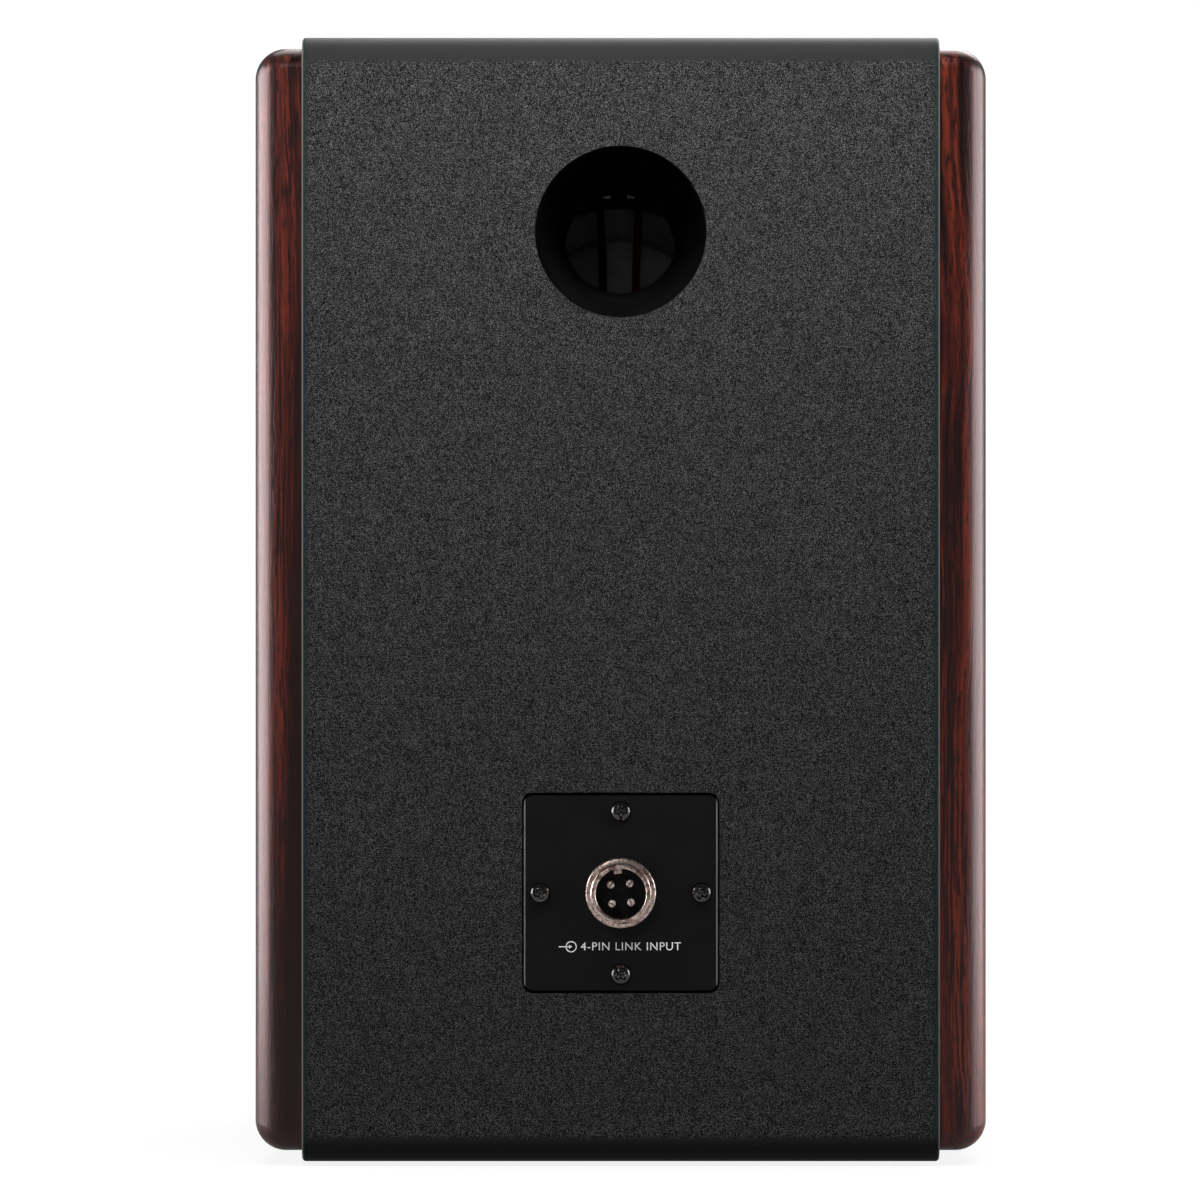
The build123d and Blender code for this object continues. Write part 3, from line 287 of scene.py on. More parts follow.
def wood_material(side):
    """Dark rosewood veneer, grain upright, under a satin lacquer: a different cut on each side, with the
    left side's tone raised as painted light and the right side's lowered as painted shade.
    """
    # The second value raises the tone on one side as painted light and lowers it on the other as painted
    # shade.
    cut_at, painted_side_light_shift = (0.31, 0.016) if side == "left" else (1.27, -0.016)
    made = Finish(
        f"lacquered_rosewood_{side}",
        Coat_Weight=0.2,
        Coat_Roughness=0.18,
        Coat_IOR=1.5,
        Specular_IOR_Level=0.6,
        Specular_Tint=(1.0, 0.62, 0.64, 1.0),
    )
    shifted = made.node("Mapping", made.place, (cut_at, 0.4, 0.13))
    sway = made.about_half(made.noise(110 * MM, place=shifted), 10 * MM)
    swing = made.node("CombineXYZ", sway, sway)
    swayed = made.node("VectorMath", shifted, swing, operation="ADD")

    def upright(size, squeeze, *settings):
        """Noise drawn out along the grain."""
        return made.noise(size, *settings, place=made.stretched((1.0, 1.0, squeeze), swayed))

    streaks = upright(3.0 * MM, 0.014, 7, 0.74, 0.15)
    broad = made.about_half(upright(8 * MM, 0.03), 0.6)
    base = made.ramp(
        made.math("ADD", made.math("ADD", streaks, broad), painted_side_light_shift),
        (0.40, (0.0024, 0.0006, 0.0004)),
        (0.48, (0.0230, 0.0030, 0.0014)),
        (0.57, (0.0660, 0.0086, 0.0034)),
        (0.72, (0.1250, 0.0210, 0.0075)),
    )
    fine = upright(0.62 * MM, 0.016, 3, 0.6)
    lined = made.between(made.noise(6 * MM, place=made.stretched((1.0, 1.0, 0.05))), 0.40, 0.58)
    line = made.math("MULTIPLY", made.between(fine, 0.50, 0.55), lined)
    pore = made.math("MULTIPLY", made.between(upright(0.5 * MM, 0.09), 0.555, 0.60), 0.9)
    dash = made.math("MULTIPLY", made.math("MAXIMUM", line, pore), 0.92)
    made.colour(made.mix(dash, base, (0.0016, 0.0008, 0.0008)))
    made.rough(fine, 0.30, 0.40)
    made.bump(made.math("SUBTRACT", 1.0, dash), 0.035 * MM, 0.5)
    lacquer = made.noise(16 * MM, place=made.stretched((1.0, 1.0, 0.4)))
    gloss = made.nodes.new("ShaderNodeBump")
    gloss.inputs["Strength"].default_value = 0.5
    gloss.inputs["Distance"].default_value = 0.05 * MM
    made.put(gloss.inputs["Height"], made.math("ADD", lacquer, made.math("MULTIPLY", dash, -0.35)))
    made.links.new(gloss.outputs["Normal"], made.shader.inputs["Coat Normal"])
    return made.material


def nickel_material():
    """Nickel with brown and olive tarnish, mottled with pink and pink-white patches that are painted warm
    reflections.
    """
    made = Finish("nickel", metal=1.0)
    tarnish_and_painted_reflection = made.noise(2.6 * MM, 5, 0.65, 0.8)
    # The brown and olive patches are tarnish; the pink and pink-white patches are painted warm reflections.
    made.colour(
        made.ramp(
            tarnish_and_painted_reflection,
            (0.36, (0.13, 0.085, 0.065)),
            (0.45, (0.50, 0.34, 0.30)),
            (0.53, (1.0, 0.80, 0.74)),
            (0.63, (0.25, 0.23, 0.13)),
        )
    )
    made.rough(made.noise(0.9 * MM, 4, 0.7), 0.2, 0.46)
    made.bump(made.noise(0.35 * MM, 4, 0.7), 0.012 * MM, 0.7)
    return made.material


def weave_material(name, thread, dark, light, depth, **fixed):
    """An over-and-under weave of round threads, `thread` metres apart, in the plane of the baffle, coloured
    darker in the dips between threads as painted shade and lighter on their crests as painted light.
    """
    made = Finish(name, rough=0.8, **fixed)
    across, _, up = made.axes()
    shaky = made.math("MULTIPLY", made.noise(7 * MM), 0.35 * thread)
    waves = []
    for value in (made.math("ADD", across, shaky), up):
        waves.append(made.math("SINE", made.math("MULTIPLY", value, math.pi / thread)))
    ridges = [made.math("ABSOLUTE", wave) for wave in waves]
    side = made.between(made.math("MULTIPLY", *waves), -0.15, 0.15)
    height = made.math(
        "ADD",
        made.math("MULTIPLY", ridges[0], side),
        made.math("MULTIPLY", ridges[1], made.math("SUBTRACT", 1.0, side)),
    )
    fibre = made.noise(thread * 0.3)
    slub = made.noise(1.7 * MM, 3, 0.7, place=made.stretched((0.35, 1.0, 1.0)))
    uneven = made.math("ADD", made.math("MULTIPLY", fibre, 0.8), made.math("SUBTRACT", slub, 0.5))
    # The thread height also sets the colour: dark in the dips as painted shade, light on the crests as
    # painted light.
    lit = made.math("MULTIPLY", height, made.math("ADD", 0.6, uneven))
    made.colour(made.ramp(lit, (0.1, dark), (0.95, light)))
    made.bump(lit, depth)
    return made.material


def cone_material():
    """Pressed and coated pulp: short fibres with faint rings from the press."""
    made = Finish("cone_paper", Specular_IOR_Level=0.3)
    fibres = made.noise(1.1 * MM, 5, 0.7, 1.2)
    clumps = made.noise(5 * MM, 3)
    made.colour(made.ramp(fibres, (0.3, (0.012, 0.012, 0.013)), (0.7, (0.035, 0.035, 0.037))))
    made.rough(clumps, 0.5, 0.75)
    made.bump(fibres, 0.1 * MM, 0.7)
    x, _, z = made.axes()
    level = made.math("SUBTRACT", z, woofer_z)
    squares = [made.math("MULTIPLY", value, value) for value in (x, level)]
    radius = made.math("SQRT", made.math("ADD", *squares))
    rings = made.math("SINE", made.math("MULTIPLY", radius, 2 * math.pi / (4.2 * MM)))
    made.bump(rings, 0.03 * MM, 0.6)
    return made.material


def wound_material():
    """Enamelled wire, wound round the coil's axis, coloured dark between the turns as painted shade."""
    made = Finish("copper_winding", rough=0.25, metal=1.0)
    _, y, _ = made.axes()
    wire_relief_and_shade = made.math("ABSOLUTE", made.math("SINE", made.math("MULTIPLY", y, math.pi / (0.3 * MM))))
    # Dark between the turns is painted shade; the bright copper on the turns is the wire's own colour.
    made.colour(made.ramp(wire_relief_and_shade, (0.0, (0.12, 0.03, 0.012)), (0.8, (0.72, 0.27, 0.12))))
    made.bump(wire_relief_and_shade, 0.12 * MM)
    return made.material


EVEN = (1.0, 1.0, 1.0)
TOOL_LINES = (1.0, 1.0, 0.06)


def steel_material(name, tone, rough, stretch=TOOL_LINES):
    """Machined or plated steel, with fine tool lines, or even grain, and a little tarnish."""
    made = Finish(name, metal=1.0)
    lines = made.noise(0.45 * MM, 3, 0.6, place=made.stretched(stretch))
    cloud = made.noise(9 * MM, 4, 0.6)
    dim = tuple(0.72 * value for value in tone)
    made.colour(made.ramp(cloud, (0.35, dim), (0.65, tone)))
    made.rough(lines, rough - 0.08, rough + 0.1)
    made.bump(lines, 0.02 * MM, 0.5)
    return made.material


def board_material():
    """Raw fibreboard: fluffy pale fibres with darker specks, blackened where the back is cut out."""
    made = Finish("raw_board", Specular_IOR_Level=0.2)
    fibre = made.noise(1.2 * MM, 6, 0.7, 0.6)
    specks = made.between(made.noise(0.7 * MM, 2), 0.66, 0.72)
    base = made.ramp(fibre, (0.3, (0.21, 0.135, 0.075)), (0.7, (0.40, 0.28, 0.175)))
    raw = made.mix(made.math("MULTIPLY", specks, 0.6), base, (0.09, 0.05, 0.03))
    _, y, _ = made.axes()
    blackened = made.between(y, back_y - 6.5 * MM, back_y - 5.5 * MM)
    made.colour(made.mix(blackened, raw, (0.006, 0.006, 0.006)))
    made.rough(fibre, 0.75, 0.95)
    made.bump(fibre, 0.15 * MM, 0.6)
    return made.material


def lacquered_board_material():
    """Satin black lacquer over fibreboard, with a faint orange peel."""
    made = Finish("black_baffle", Specular_IOR_Level=0.2)
    peel = made.noise(1.8 * MM)
    cloud = made.noise(30 * MM, 3)
    made.colour(made.ramp(cloud, (0.35, (0.010, 0.010, 0.0105)), (0.65, (0.017, 0.017, 0.018))))
    made.rough(peel, 0.42, 0.54)
    made.bump(peel, 0.03 * MM, 0.7)
    return made.material


def port_material():
    """Satin black moulding, a little uneven."""
    made = Finish("port_plastic", Specular_IOR_Level=0.12)
    cloud = made.noise(14 * MM, 3)
    made.colour(made.ramp(cloud, (0.35, (0.0018, 0.0018, 0.0018)), (0.65, (0.0032, 0.0032, 0.0033))))
    made.rough(cloud, 0.4, 0.5)
    made.bump(made.noise(4 * MM, 3), 0.015 * MM, 0.5)
    return made.material


def plate_material():
    """Satin black paint with a fine orange peel, a few specks of dust and a painted highlight as a pale line
    down its left and right side edges.
    """
    made = Finish("plate_black", Specular_IOR_Level=0.2)
    cloud = made.noise(9 * MM, 4, 0.6)
    base = made.ramp(cloud, (0.35, (0.0022, 0.0022, 0.0023)), (0.65, (0.0034, 0.0034, 0.0036)))
    specks = made.between(made.noise(0.5 * MM, 1), 0.775, 0.80)
    dusty = made.mix(specks, base, (0.035, 0.034, 0.034))
    x, _, _ = made.axes()
    # The pale line down the left and right edges is a painted highlight.
    rim = made.between(made.math("ABSOLUTE", x), 24.75 * MM, 24.95 * MM)
    made.colour(made.mix(rim, dusty, (0.26, 0.26, 0.26)))
    made.rough(cloud, 0.42, 0.52)
    made.bump(made.noise(0.45 * MM, 3, 0.6), 0.02 * MM, 0.6)
    return made.material


def wadding_material():
    """Off-white polyester fibre."""
    made = Finish("wadding_white", Sheen_Weight=0.3)
    fibre = made.noise(1.6 * MM, 6, 0.75, 2.0)
    made.colour(made.ramp(fibre, (0.3, (0.50, 0.50, 0.47)), (0.7, (0.80, 0.80, 0.77))))
    made.rough(fibre, 0.85, 1.0)
    made.bump(fibre, 0.8 * MM, 0.8)
    return made.material


finishes = [
    board_material(),
    film_material(),
    lacquered_board_material(),
    port_material(),
    plate_material(),
    nickel_material(),
    cone_material(),
    wound_material(),
    wadding_material(),
    mottled("black_rubber", 0.012, 0.022, 5 * MM, (0.6, 0.8), 0.04 * MM, 0.5 * MM),
    mottled(
        "black_steel", (0.065, 0.064, 0.063), (0.15, 0.148, 0.146), 1.6 * MM, (0.12, 0.22),
        0.01 * MM, 0.3 * MM, metal=1.0,
    ),
    mottled(
        "insert_black", (0.0025, 0.0025, 0.003), (0.005, 0.005, 0.0055), 2 * MM, (0.35, 0.55),
        0.01 * MM, Specular_IOR_Level=0.2,
    ),
    mottled(
        "silvered_pin", (0.66, 0.50, 0.45), (0.93, 0.83, 0.80), 0.7 * MM, (0.26, 0.42),
        0.02 * MM, 0.4 * MM, metal=0.7,
    ),
    mottled("grille_plastic", 0.014, 0.024, 8 * MM, (0.4, 0.55), 0.03 * MM, 0.4 * MM),
    mottled("roll_rubber", 0.008, 0.014, 12 * MM, (0.38, 0.52), 0.02 * MM, 0.6 * MM),
    mottled(
        "basket_paint", (0.018, 0.018, 0.019), (0.03, 0.03, 0.032), 6 * MM, (0.45, 0.6),
        0.05 * MM, 0.5 * MM,
    ),
    mottled(
        "trim_plastic", (0.013, 0.013, 0.014), (0.022, 0.022, 0.024), 9 * MM, (0.32, 0.44),
        0.02 * MM, 0.35 * MM,
    ),
    mottled(
        "ferrite", (0.035, 0.035, 0.037), (0.075, 0.074, 0.074), 2.5 * MM, (0.5, 0.7),
        0.06 * MM, 0.4 * MM,
    ),
    mottled("strip_board", (0.16, 0.075, 0.03), (0.30, 0.16, 0.07), 1.4 * MM, (0.55, 0.7), 0.03 * MM),
    mottled(
        "lead_red", (0.16, 0.008, 0.007), (0.24, 0.012, 0.010), 6 * MM, (0.35, 0.5),
        0.02 * MM, 0.5 * MM,
    ),
    mottled("lead_black", 0.010, 0.020, 6 * MM, (0.35, 0.5), 0.02 * MM, 0.5 * MM),
    mottled("sleeve_black", 0.012, 0.022, 2 * MM, (0.5, 0.65), 0.02 * MM),
    # A pale grey that stands in for light seen inside the port's throat: painted light.
    mottled("chamber_painted_light_grey", 0.62, 0.82, 9 * MM, (0.5, 0.65), 0.03 * MM, 0.4 * MM),
    weave_material(
        "grille_fabric", 0.8 * MM, (0.0012, 0.0012, 0.0013), (0.024, 0.024, 0.026), 0.3 * MM,
        Sheen_Weight=0.25, Specular_IOR_Level=0.2,
    ),
    weave_material("spider_cloth", 0.5 * MM, (0.16, 0.075, 0.012), (0.62, 0.40, 0.10), 0.15 * MM),
    weave_material(
        "dome_silk", 0.22 * MM, (0.010, 0.010, 0.012), (0.040, 0.040, 0.046), 0.05 * MM,
        Coat_Weight=0.25, Coat_Roughness=0.3,
    ),
    steel_material("zinc_steel", (0.62, 0.55, 0.36), 0.3, EVEN),
    steel_material("plated_steel", (0.20, 0.20, 0.205), 0.36),
    steel_material("former_foil", (0.80, 0.80, 0.81), 0.22),
    steel_material("tinned_brass", (0.70, 0.66, 0.54), 0.26, EVEN),
]
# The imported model's own materials hold these names already, so the new ones have a number after a dot.
MATERIALS = {material.name.split(".")[0]: material for material in finishes}
slot_of = {part["node"]: part["material_slot"] for part in frame["record"]["subparts"]}


def paint(piece, material):
    """Puts one material on the whole of a piece."""
    for index in range(len(piece.material_slots)):
        piece.material_slots[index].material = material
    if not piece.material_slots:
        piece.data.materials.append(material)


for node, piece in frame["nodes"].items():
    if slot_of[node] == "lacquered_rosewood":
        paint(piece, wood_material(node.split("_")[0]))
    # The tweeter's rear chamber is coloured pale grey as painted light, so that the port's throat reads
    # brighter.
    elif node == "tweeter_rear_chamber":
        paint(piece, MATERIALS["chamber_painted_light_grey"])
    else:
        paint(piece, MATERIALS[slot_of[node]])


# ---- Mesh helpers -------------------------------------------------------------------------------
def new_piece(name, points, faces, smooth=True):
    mesh = bpy.data.meshes.new(name)
    mesh.from_pydata([tuple(point) for point in points], [], faces)
    mesh.validate()
    mesh.update()
    if smooth:
        mesh.shade_smooth()
    return add_object(name, mesh)


def wall_faces(first, count):
    """Quads between an outline of `count` points and its copy that follows it."""
    faces = []
    for step in range(count):
        right = (step + 1) % count
        faces.append((first + step, first + right, first + count + right, first + count + step))
    return faces


def split_edges(piece, degrees):
    """Keeps edges sharper than `degrees` crisp under smooth shading."""
    split = piece.modifiers.new("edges", "EDGE_SPLIT")
    split.split_angle = math.radians(degrees)


def applied(piece):
    """A new mesh of the piece with its modifiers, or its text's outline, applied."""
    bpy.context.view_layer.update()
    return bpy.data.meshes.new_from_object(piece.evaluated_get(bpy.context.evaluated_depsgraph_get()))


def ring_faces(rings, around, closed):
    """Quads between successive rings of points; a closed section joins its last ring to its first."""
    faces = []
    for ring in range(rings if closed else rings - 1):
        start = ring * around
        after = ((ring + 1) % rings) * around
        for step in range(around):
            right = (step + 1) % around
            faces.append((start + step, start + right, after + right, after + step))
    return faces


def turned(name, section, axis_z, around):
    """A piece turned about an axis along Y at (0, axis_z), from its (radius, y) section."""
    points = []
    for radius, y in section:
        for step in range(around):
            angle = 2 * math.pi * step / around
            points.append((radius * math.cos(angle), y, axis_z + radius * math.sin(angle)))
    return new_piece(name, points, ring_faces(len(section), around, True))


def finish_piece(piece, slot, *nodes):
    """Gives a new piece its material and the CAD nodes that it stands for."""
    paint(piece, MATERIALS[slot])
    if nodes:
        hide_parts(*nodes)


def blend_by_radius(piece, moving_body, axis_z, inner, outer):
    """The piece follows the moving body inside the radius `inner` and the cabinet outside `outer`."""
    middle = (0, front_y, axis_z)
    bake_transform(piece, "cabinet", moving_body, start=middle, end=(outer, front_y, axis_z))
    weights = piece.data.attributes["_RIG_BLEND"].data
    for vertex, weight in zip(piece.data.vertices, weights):
        radius = math.hypot(vertex.co.x, vertex.co.z - axis_z)
        share = min(1.0, max(0.0, (outer - radius) / (outer - inner)))
        weight.value = share * share * (3 - 2 * share)


def thick_line(line, thickness):
    """A closed section along a line of (radius, y) points, `thickness` behind it."""
    return line + [(radius, y + thickness) for radius, y in reversed(line)]


# ---- Woofer surround, spider and tweeter surround -------------------------------------------------
def arc(start, end, rise, steps):
    """Half an ellipse between two radii at one depth, towards the front by `rise`."""
    middle = (start[0] + end[0]) / 2
    reach = (end[0] - start[0]) / 2
    points = []
    for step in range(steps + 1):
        angle = math.pi * (1 - step / steps)
        points.append((middle + reach * math.cos(angle), start[1] - rise * math.sin(angle)))
    return points


def woofer_surround():
    low, high = corners("woofer_surround")
    rim = high.x
    skin = 0.9 * MM
    lip_y = high.y - skin
    hub, cone_edge, flange = 48.7 * MM, 50.5 * MM, 63.5 * MM
    inner, outer = 51.75 * MM, 62.25 * MM
    section = [(hub, lip_y), (cone_edge, lip_y)]
    section += arc((inner, lip_y), (outer, lip_y), lip_y - low.y, 28)
    section += [(flange, lip_y), (rim, lip_y), (rim, high.y), (flange, high.y)]
    back = arc((inner + skin, high.y), (outer - skin, high.y), high.y - low.y - skin, 28)
    section += back[::-1] + [(cone_edge, high.y), (hub, high.y)]
    piece = turned("surround_roll", section, woofer_z, 192)
    finish_piece(piece, "roll_rubber", "woofer_surround")
    blend_by_radius(piece, "woofer_diaphragm", woofer_z, 52.2 * MM, 61.6 * MM)


def woofer_spider():
    low, high = corners("woofer_spider")
    skin = 0.6 * MM
    middle_y = (low.y + high.y) / 2 - skin / 2
    rise = (high.y - low.y - skin) / 2
    inner, outer, hub = 17 * MM, 41 * MM, 12.95 * MM
    waves, per_wave = 4, 14
    line = [(hub, middle_y), (15 * MM, middle_y)]
    for step in range(waves * per_wave + 1):
        share = step / (waves * per_wave)
        swing = math.sin(2 * math.pi * waves * share)
        line.append((inner + share * (outer - inner), middle_y - rise * swing))
    line += [(43 * MM, middle_y), (high.x, middle_y)]
    piece = turned("spider_corrugation", thick_line(line, skin), woofer_z, 144)
    finish_piece(piece, "spider_cloth", "woofer_spider")
    blend_by_radius(piece, "woofer_diaphragm", woofer_z, 16 * MM, 41 * MM)


def tweeter_surround():
    low, high = corners("tweeter_surround")
    skin = 0.3 * MM
    lip_y = high.y - 0.4 * MM
    inner, outer = 12.82 * MM, 15.7 * MM
    behind = lip_y + skin
    section = arc((inner, lip_y), (outer, lip_y), lip_y - low.y, 18)
    section += [(16.4 * MM, lip_y), (high.x, lip_y), (high.x, behind), (outer, behind)]
    back = arc((inner + skin, behind), (outer - skin, behind), lip_y - low.y - skin / 2, 18)
    section += back[::-1] + [(inner, behind)]
    piece = turned("dome_surround", section, tweeter_z, 128)
    finish_piece(piece, "dome_silk", "tweeter_surround")
    blend_by_radius(piece, "tweeter_diaphragm", tweeter_z, 13.0 * MM, 15.6 * MM)


woofer_surround()
woofer_spider()
tweeter_surround()


# ---- Link socket's shell, with its thread ---------------------------------------------------------
THREAD_PITCH = 1.0 * MM
THREAD_DEPTH = 0.5 * MM
KEY_TURN = 7.5


def socket_shell():
    low, high = corners("socket_shell")
    middle = centre("socket_shell")
    rim = high.y
    outer, bore, flange = 7.9 * MM, 6.5 * MM, high.x
    flange_y = plate_y + 1.6 * MM
    around = 144
    section = [(bore, rim - 0.35 * MM), (bore + 0.12 * MM, rim - 0.12 * MM), (bore + 0.35 * MM, rim)]
    section += [(outer - 0.5 * MM, rim), (outer - 0.2 * MM, rim - 0.2 * MM)]
    thread_start, thread_end, run_out = rim - 0.4 * MM, flange_y + 0.6 * MM, 0.8 * MM
    steps = 72
    threads = []
    for step in range(steps + 1):
        threads.append(thread_start + (thread_end - thread_start) * step / steps)
    after = [(outer - THREAD_DEPTH, flange_y + 0.4 * MM), (outer - THREAD_DEPTH, flange_y)]
    after += [(flange - 0.5 * MM, flange_y), (flange - 0.15 * MM, flange_y - 0.15 * MM)]
    after += [(flange, flange_y - 0.5 * MM), (flange, plate_y), (outer, plate_y), (outer, low.y)]
    after += [(bore, low.y), (bore, plate_y), (bore, plate_y + 3 * MM)]
    points = []

    def add_ring(radius_at, y):
        for step in range(around):
            turn = step / around
            radius = radius_at(turn)
            angle = 2 * math.pi * turn
            x, z = radius * math.cos(angle), radius * math.sin(angle)
            points.append((middle.x + x, y, middle.z + z))

    for radius, y in section:
        add_ring(lambda turn, radius=radius: radius, y)
    for y in threads:
        fade = max(0.0, min(1.0, (thread_start - y) / run_out, (y - thread_end) / run_out))

        def radius_at(turn, y=y, fade=fade):
            phase = (y / THREAD_PITCH + turn) % 1.0
            groove = min(1.0, 1.25 * (1 - abs(2 * phase - 1)))
            return outer - THREAD_DEPTH * (fade * groove + (1 - fade) * 0.5)

        add_ring(radius_at, y)
    for radius, y in after:
        add_ring(lambda turn, radius=radius: radius, y)
    rings = len(section) + len(threads) + len(after)
    faces = ring_faces(rings, around, True)
    # The key is a small bevelled bar inside the bore, a little left of the top as seen from behind.
    turn = math.radians(KEY_TURN)
    along = Vector((-math.cos(turn), 0, math.sin(turn)))
    up = Vector((math.sin(turn), 0, math.cos(turn)))
    half, soft, root, tip = 1.0 * MM, 0.15 * MM, 6.7 * MM, 5.3 * MM
    first = len(points)
    outline = [(-half, root), (-half, tip + soft), (-half + soft, tip)]
    outline += [(half - soft, tip), (half, tip + soft), (half, root)]
    for y in (plate_y + 1.4 * MM, rim - 1.0 * MM):
        for across, rise in outline:
            spot = middle + along * across + up * rise
            points.append((spot.x, y, spot.z))
    count = len(outline)
    faces += wall_faces(first, count)
    faces.append(tuple(first + count + step for step in range(count)))
    faces.append(tuple(first + step for step in reversed(range(count))))
    piece = new_piece("threaded_shell", points, faces)
    split_edges(piece, 50)
    finish_piece(piece, "nickel", "socket_shell")
    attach(piece, "cabinet")


socket_shell()


# ---- Plate screws ---------------------------------------------------------------------------------
def cross_recess(across, up):
    """The depth of a cross recess at a place on a screw's head."""
    depth = 0.0
    for along, aside in ((abs(across), abs(up)), (abs(up), abs(across))):
        wall = min(1.0, max(0.0, (0.55 * MM - aside) / (0.22 * MM)))
        end = min(1.0, max(0.0, (1.75 * MM - along) / (0.45 * MM)))
        depth = max(depth, 1.15 * MM * wall * end)
    cone = max(0.0, 1 - math.hypot(across, up) / (1.15 * MM))
    return max(depth, 1.5 * MM * cone)


def pan_screw(number, spot, turn):
    """One black pan-head screw whose head stands on the plate at `spot`."""
    head, height, shoulder = 2.7 * MM, 2.0 * MM, 0.45 * MM
    around, rings = 96, 44
    points = [(spot.x, spot.y + height - cross_recess(0, 0), spot.z)]
    cos, sin = math.cos(turn), math.sin(turn)
    for ring in range(1, rings + 1):
        share = ring / rings
        radius = head * share
        edge = max(0.0, (share - 0.2) / 0.8)
        rise = shoulder + (height - shoulder) * math.sqrt(max(0.0, 1 - edge**2))
        for step in range(around):
            angle = 2 * math.pi * step / around
            across, up = radius * math.cos(angle), radius * math.sin(angle)
            depth = cross_recess(across * cos + up * sin, up * cos - across * sin)
            points.append((spot.x - across, spot.y + rise - depth, spot.z + up))
    for step in range(around):
        angle = 2 * math.pi * step / around
        points.append((spot.x - head * math.cos(angle), spot.y, spot.z + head * math.sin(angle)))
    faces = [(0, 1 + step, 1 + (step + 1) % around) for step in range(around)]
    for quad in ring_faces(rings + 1, around, False):
        faces.append(tuple(corner + 1 for corner in quad))
    piece = new_piece(f"plate_screw_head_{number}", points, faces)
    split_edges(piece, 60)
    finish_piece(piece, "black_steel")
    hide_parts("link_plate_screws")
    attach(piece, "cabinet")


across_to_screw, up_to_screw = 21.0 * MM, 21.2 * MM
screw_spots = ((across_to_screw, 0), (-across_to_screw, 0), (0, up_to_screw), (0, -up_to_screw))
for number, (x, z) in enumerate(screw_spots):
    spot = Vector((plate_centre.x + x, plate_y, plate_centre.z + z))
    pan_screw(number, spot, math.radians(20 + 37 * number))


# ---- Legend on the plate --------------------------------------------------------------------------
INK_THICK = 0.03 * MM


def ink_material():
    made = Finish("white_ink", Specular_IOR_Level=0.3)
    wear = made.noise(0.35 * MM, 3, 0.6)
    made.colour(made.ramp(wear, (0.3, 0.72), (0.6, (0.93, 0.93, 0.94))))
    made.rough(wear, 0.5, 0.65)
    return made.material


INK = ink_material()
# From flat drawing axes, right and up, to the plate as seen from behind.
ON_PLATE = Matrix(((-1, 0, 0), (0, 0, 1), (0, 1, 0))).to_4x4()


def ink_piece(name, mesh, across, up):
    """Lays a flat mesh on the plate, `across` and `up` from its middle as seen from behind."""
    piece = add_object(name, mesh)
    place = Vector((plate_centre.x - across, plate_y, plate_centre.z + up))
    mesh.transform(Matrix.Translation(place) @ ON_PLATE)
    paint(piece, INK)
    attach(piece, "cabinet")


def raised(outlines):
    """Points and faces of flat outlines, lists of (right, up) points, raised by the ink's thickness."""
    points, faces = [], []
    for outline in outlines:
        first = len(points)
        count = len(outline)
        for level in (0.0, INK_THICK):
            points += [(x, y, level) for x, y in outline]
        faces.append(tuple(first + count + step for step in range(count)))
        faces += wall_faces(first, count)
    return points, faces


def legend():
    """An input symbol, an arrow into a ring, and the words beside it."""
    row, words_from, symbol_at = -14.0 * MM, -10.4 * MM, -12.9 * MM
    cap_height = 2.1 * MM
    curve = bpy.data.curves.new("legend_text", "FONT")
    curve.body = "4-PIN LINK INPUT"
    curve.align_x = "LEFT"
    curve.align_y = "CENTER"
    curve.size = cap_height / 0.7
    curve.space_character = 1.1
    curve.extrude = INK_THICK / 2
    curve.resolution_u = 4
    text = add_object("legend_source", curve)
    mesh = applied(text)
    bpy.data.objects.remove(text)
    ink_piece("legend_letters", mesh, words_from, row)

    ring, stroke, steps = 1.32 * MM, 0.26 * MM, 48
    points, faces = [], []
    for radius in (ring - stroke / 2, ring + stroke / 2):
        for level in (0.0, INK_THICK):
            for step in range(steps):
                angle = 2 * math.pi * step / steps
                points.append((radius * math.cos(angle), radius * math.sin(angle), level))
    for step in range(steps):
        right = (step + 1) % steps
        inner_low, inner_high, outer_low, outer_high = (steps * number for number in range(4))
        faces.append((inner_high + step, outer_high + step, outer_high + right, inner_high + right))
        faces.append((outer_low + step, outer_low + right, outer_high + right, outer_high + step))
        faces.append((inner_low + right, inner_low + step, inner_high + step, inner_high + right))
    mesh = bpy.data.meshes.new("legend_ring")
    mesh.from_pydata(points, [], faces)
    ink_piece("legend_ring", mesh, symbol_at, row)

    half = 0.13 * MM
    shaft = [(-3.2 * MM, -half), (-0.5 * MM, -half), (-0.5 * MM, half), (-3.2 * MM, half)]
    head = [(-0.55 * MM, -0.5 * MM), (0.35 * MM, 0.0), (-0.55 * MM, 0.5 * MM)]
    mesh = bpy.data.meshes.new("legend_arrow")
    points, faces = raised([shaft, head])
    mesh.from_pydata(points, [], faces)
    ink_piece("legend_arrow", mesh, symbol_at, row)


legend()


# ---- Grille cloth ---------------------------------------------------------------------------------
def rounded_loop(width, height, corner):
    """Points round a rounded rectangle, as (x, z), with the same count whatever its size."""
    per_corner, per_side = 10, (24, 40)
    points = []
    straight = (height - 2 * corner, width - 2 * corner)
    centres = ((1, 1), (-1, 1), (-1, -1), (1, -1))
    for number, (sign_x, sign_z) in enumerate(centres):
        middle = (sign_x * (width / 2 - corner), sign_z * (height / 2 - corner))
        for step in range(per_corner + 1):
            angle = math.pi / 2 * (number + step / per_corner)
            points.append((middle[0] + corner * math.cos(angle), middle[1] + corner * math.sin(angle)))
        along = straight[(number + 1) % 2]
        count = per_side[number % 2]
        last = points[-1]
        direction = ((-1, 0), (0, -1), (1, 0), (0, 1))[number]
        for step in range(1, count):
            share = along * step / count
            points.append((last[0] + direction[0] * share, last[1] + direction[1] * share))
    return points


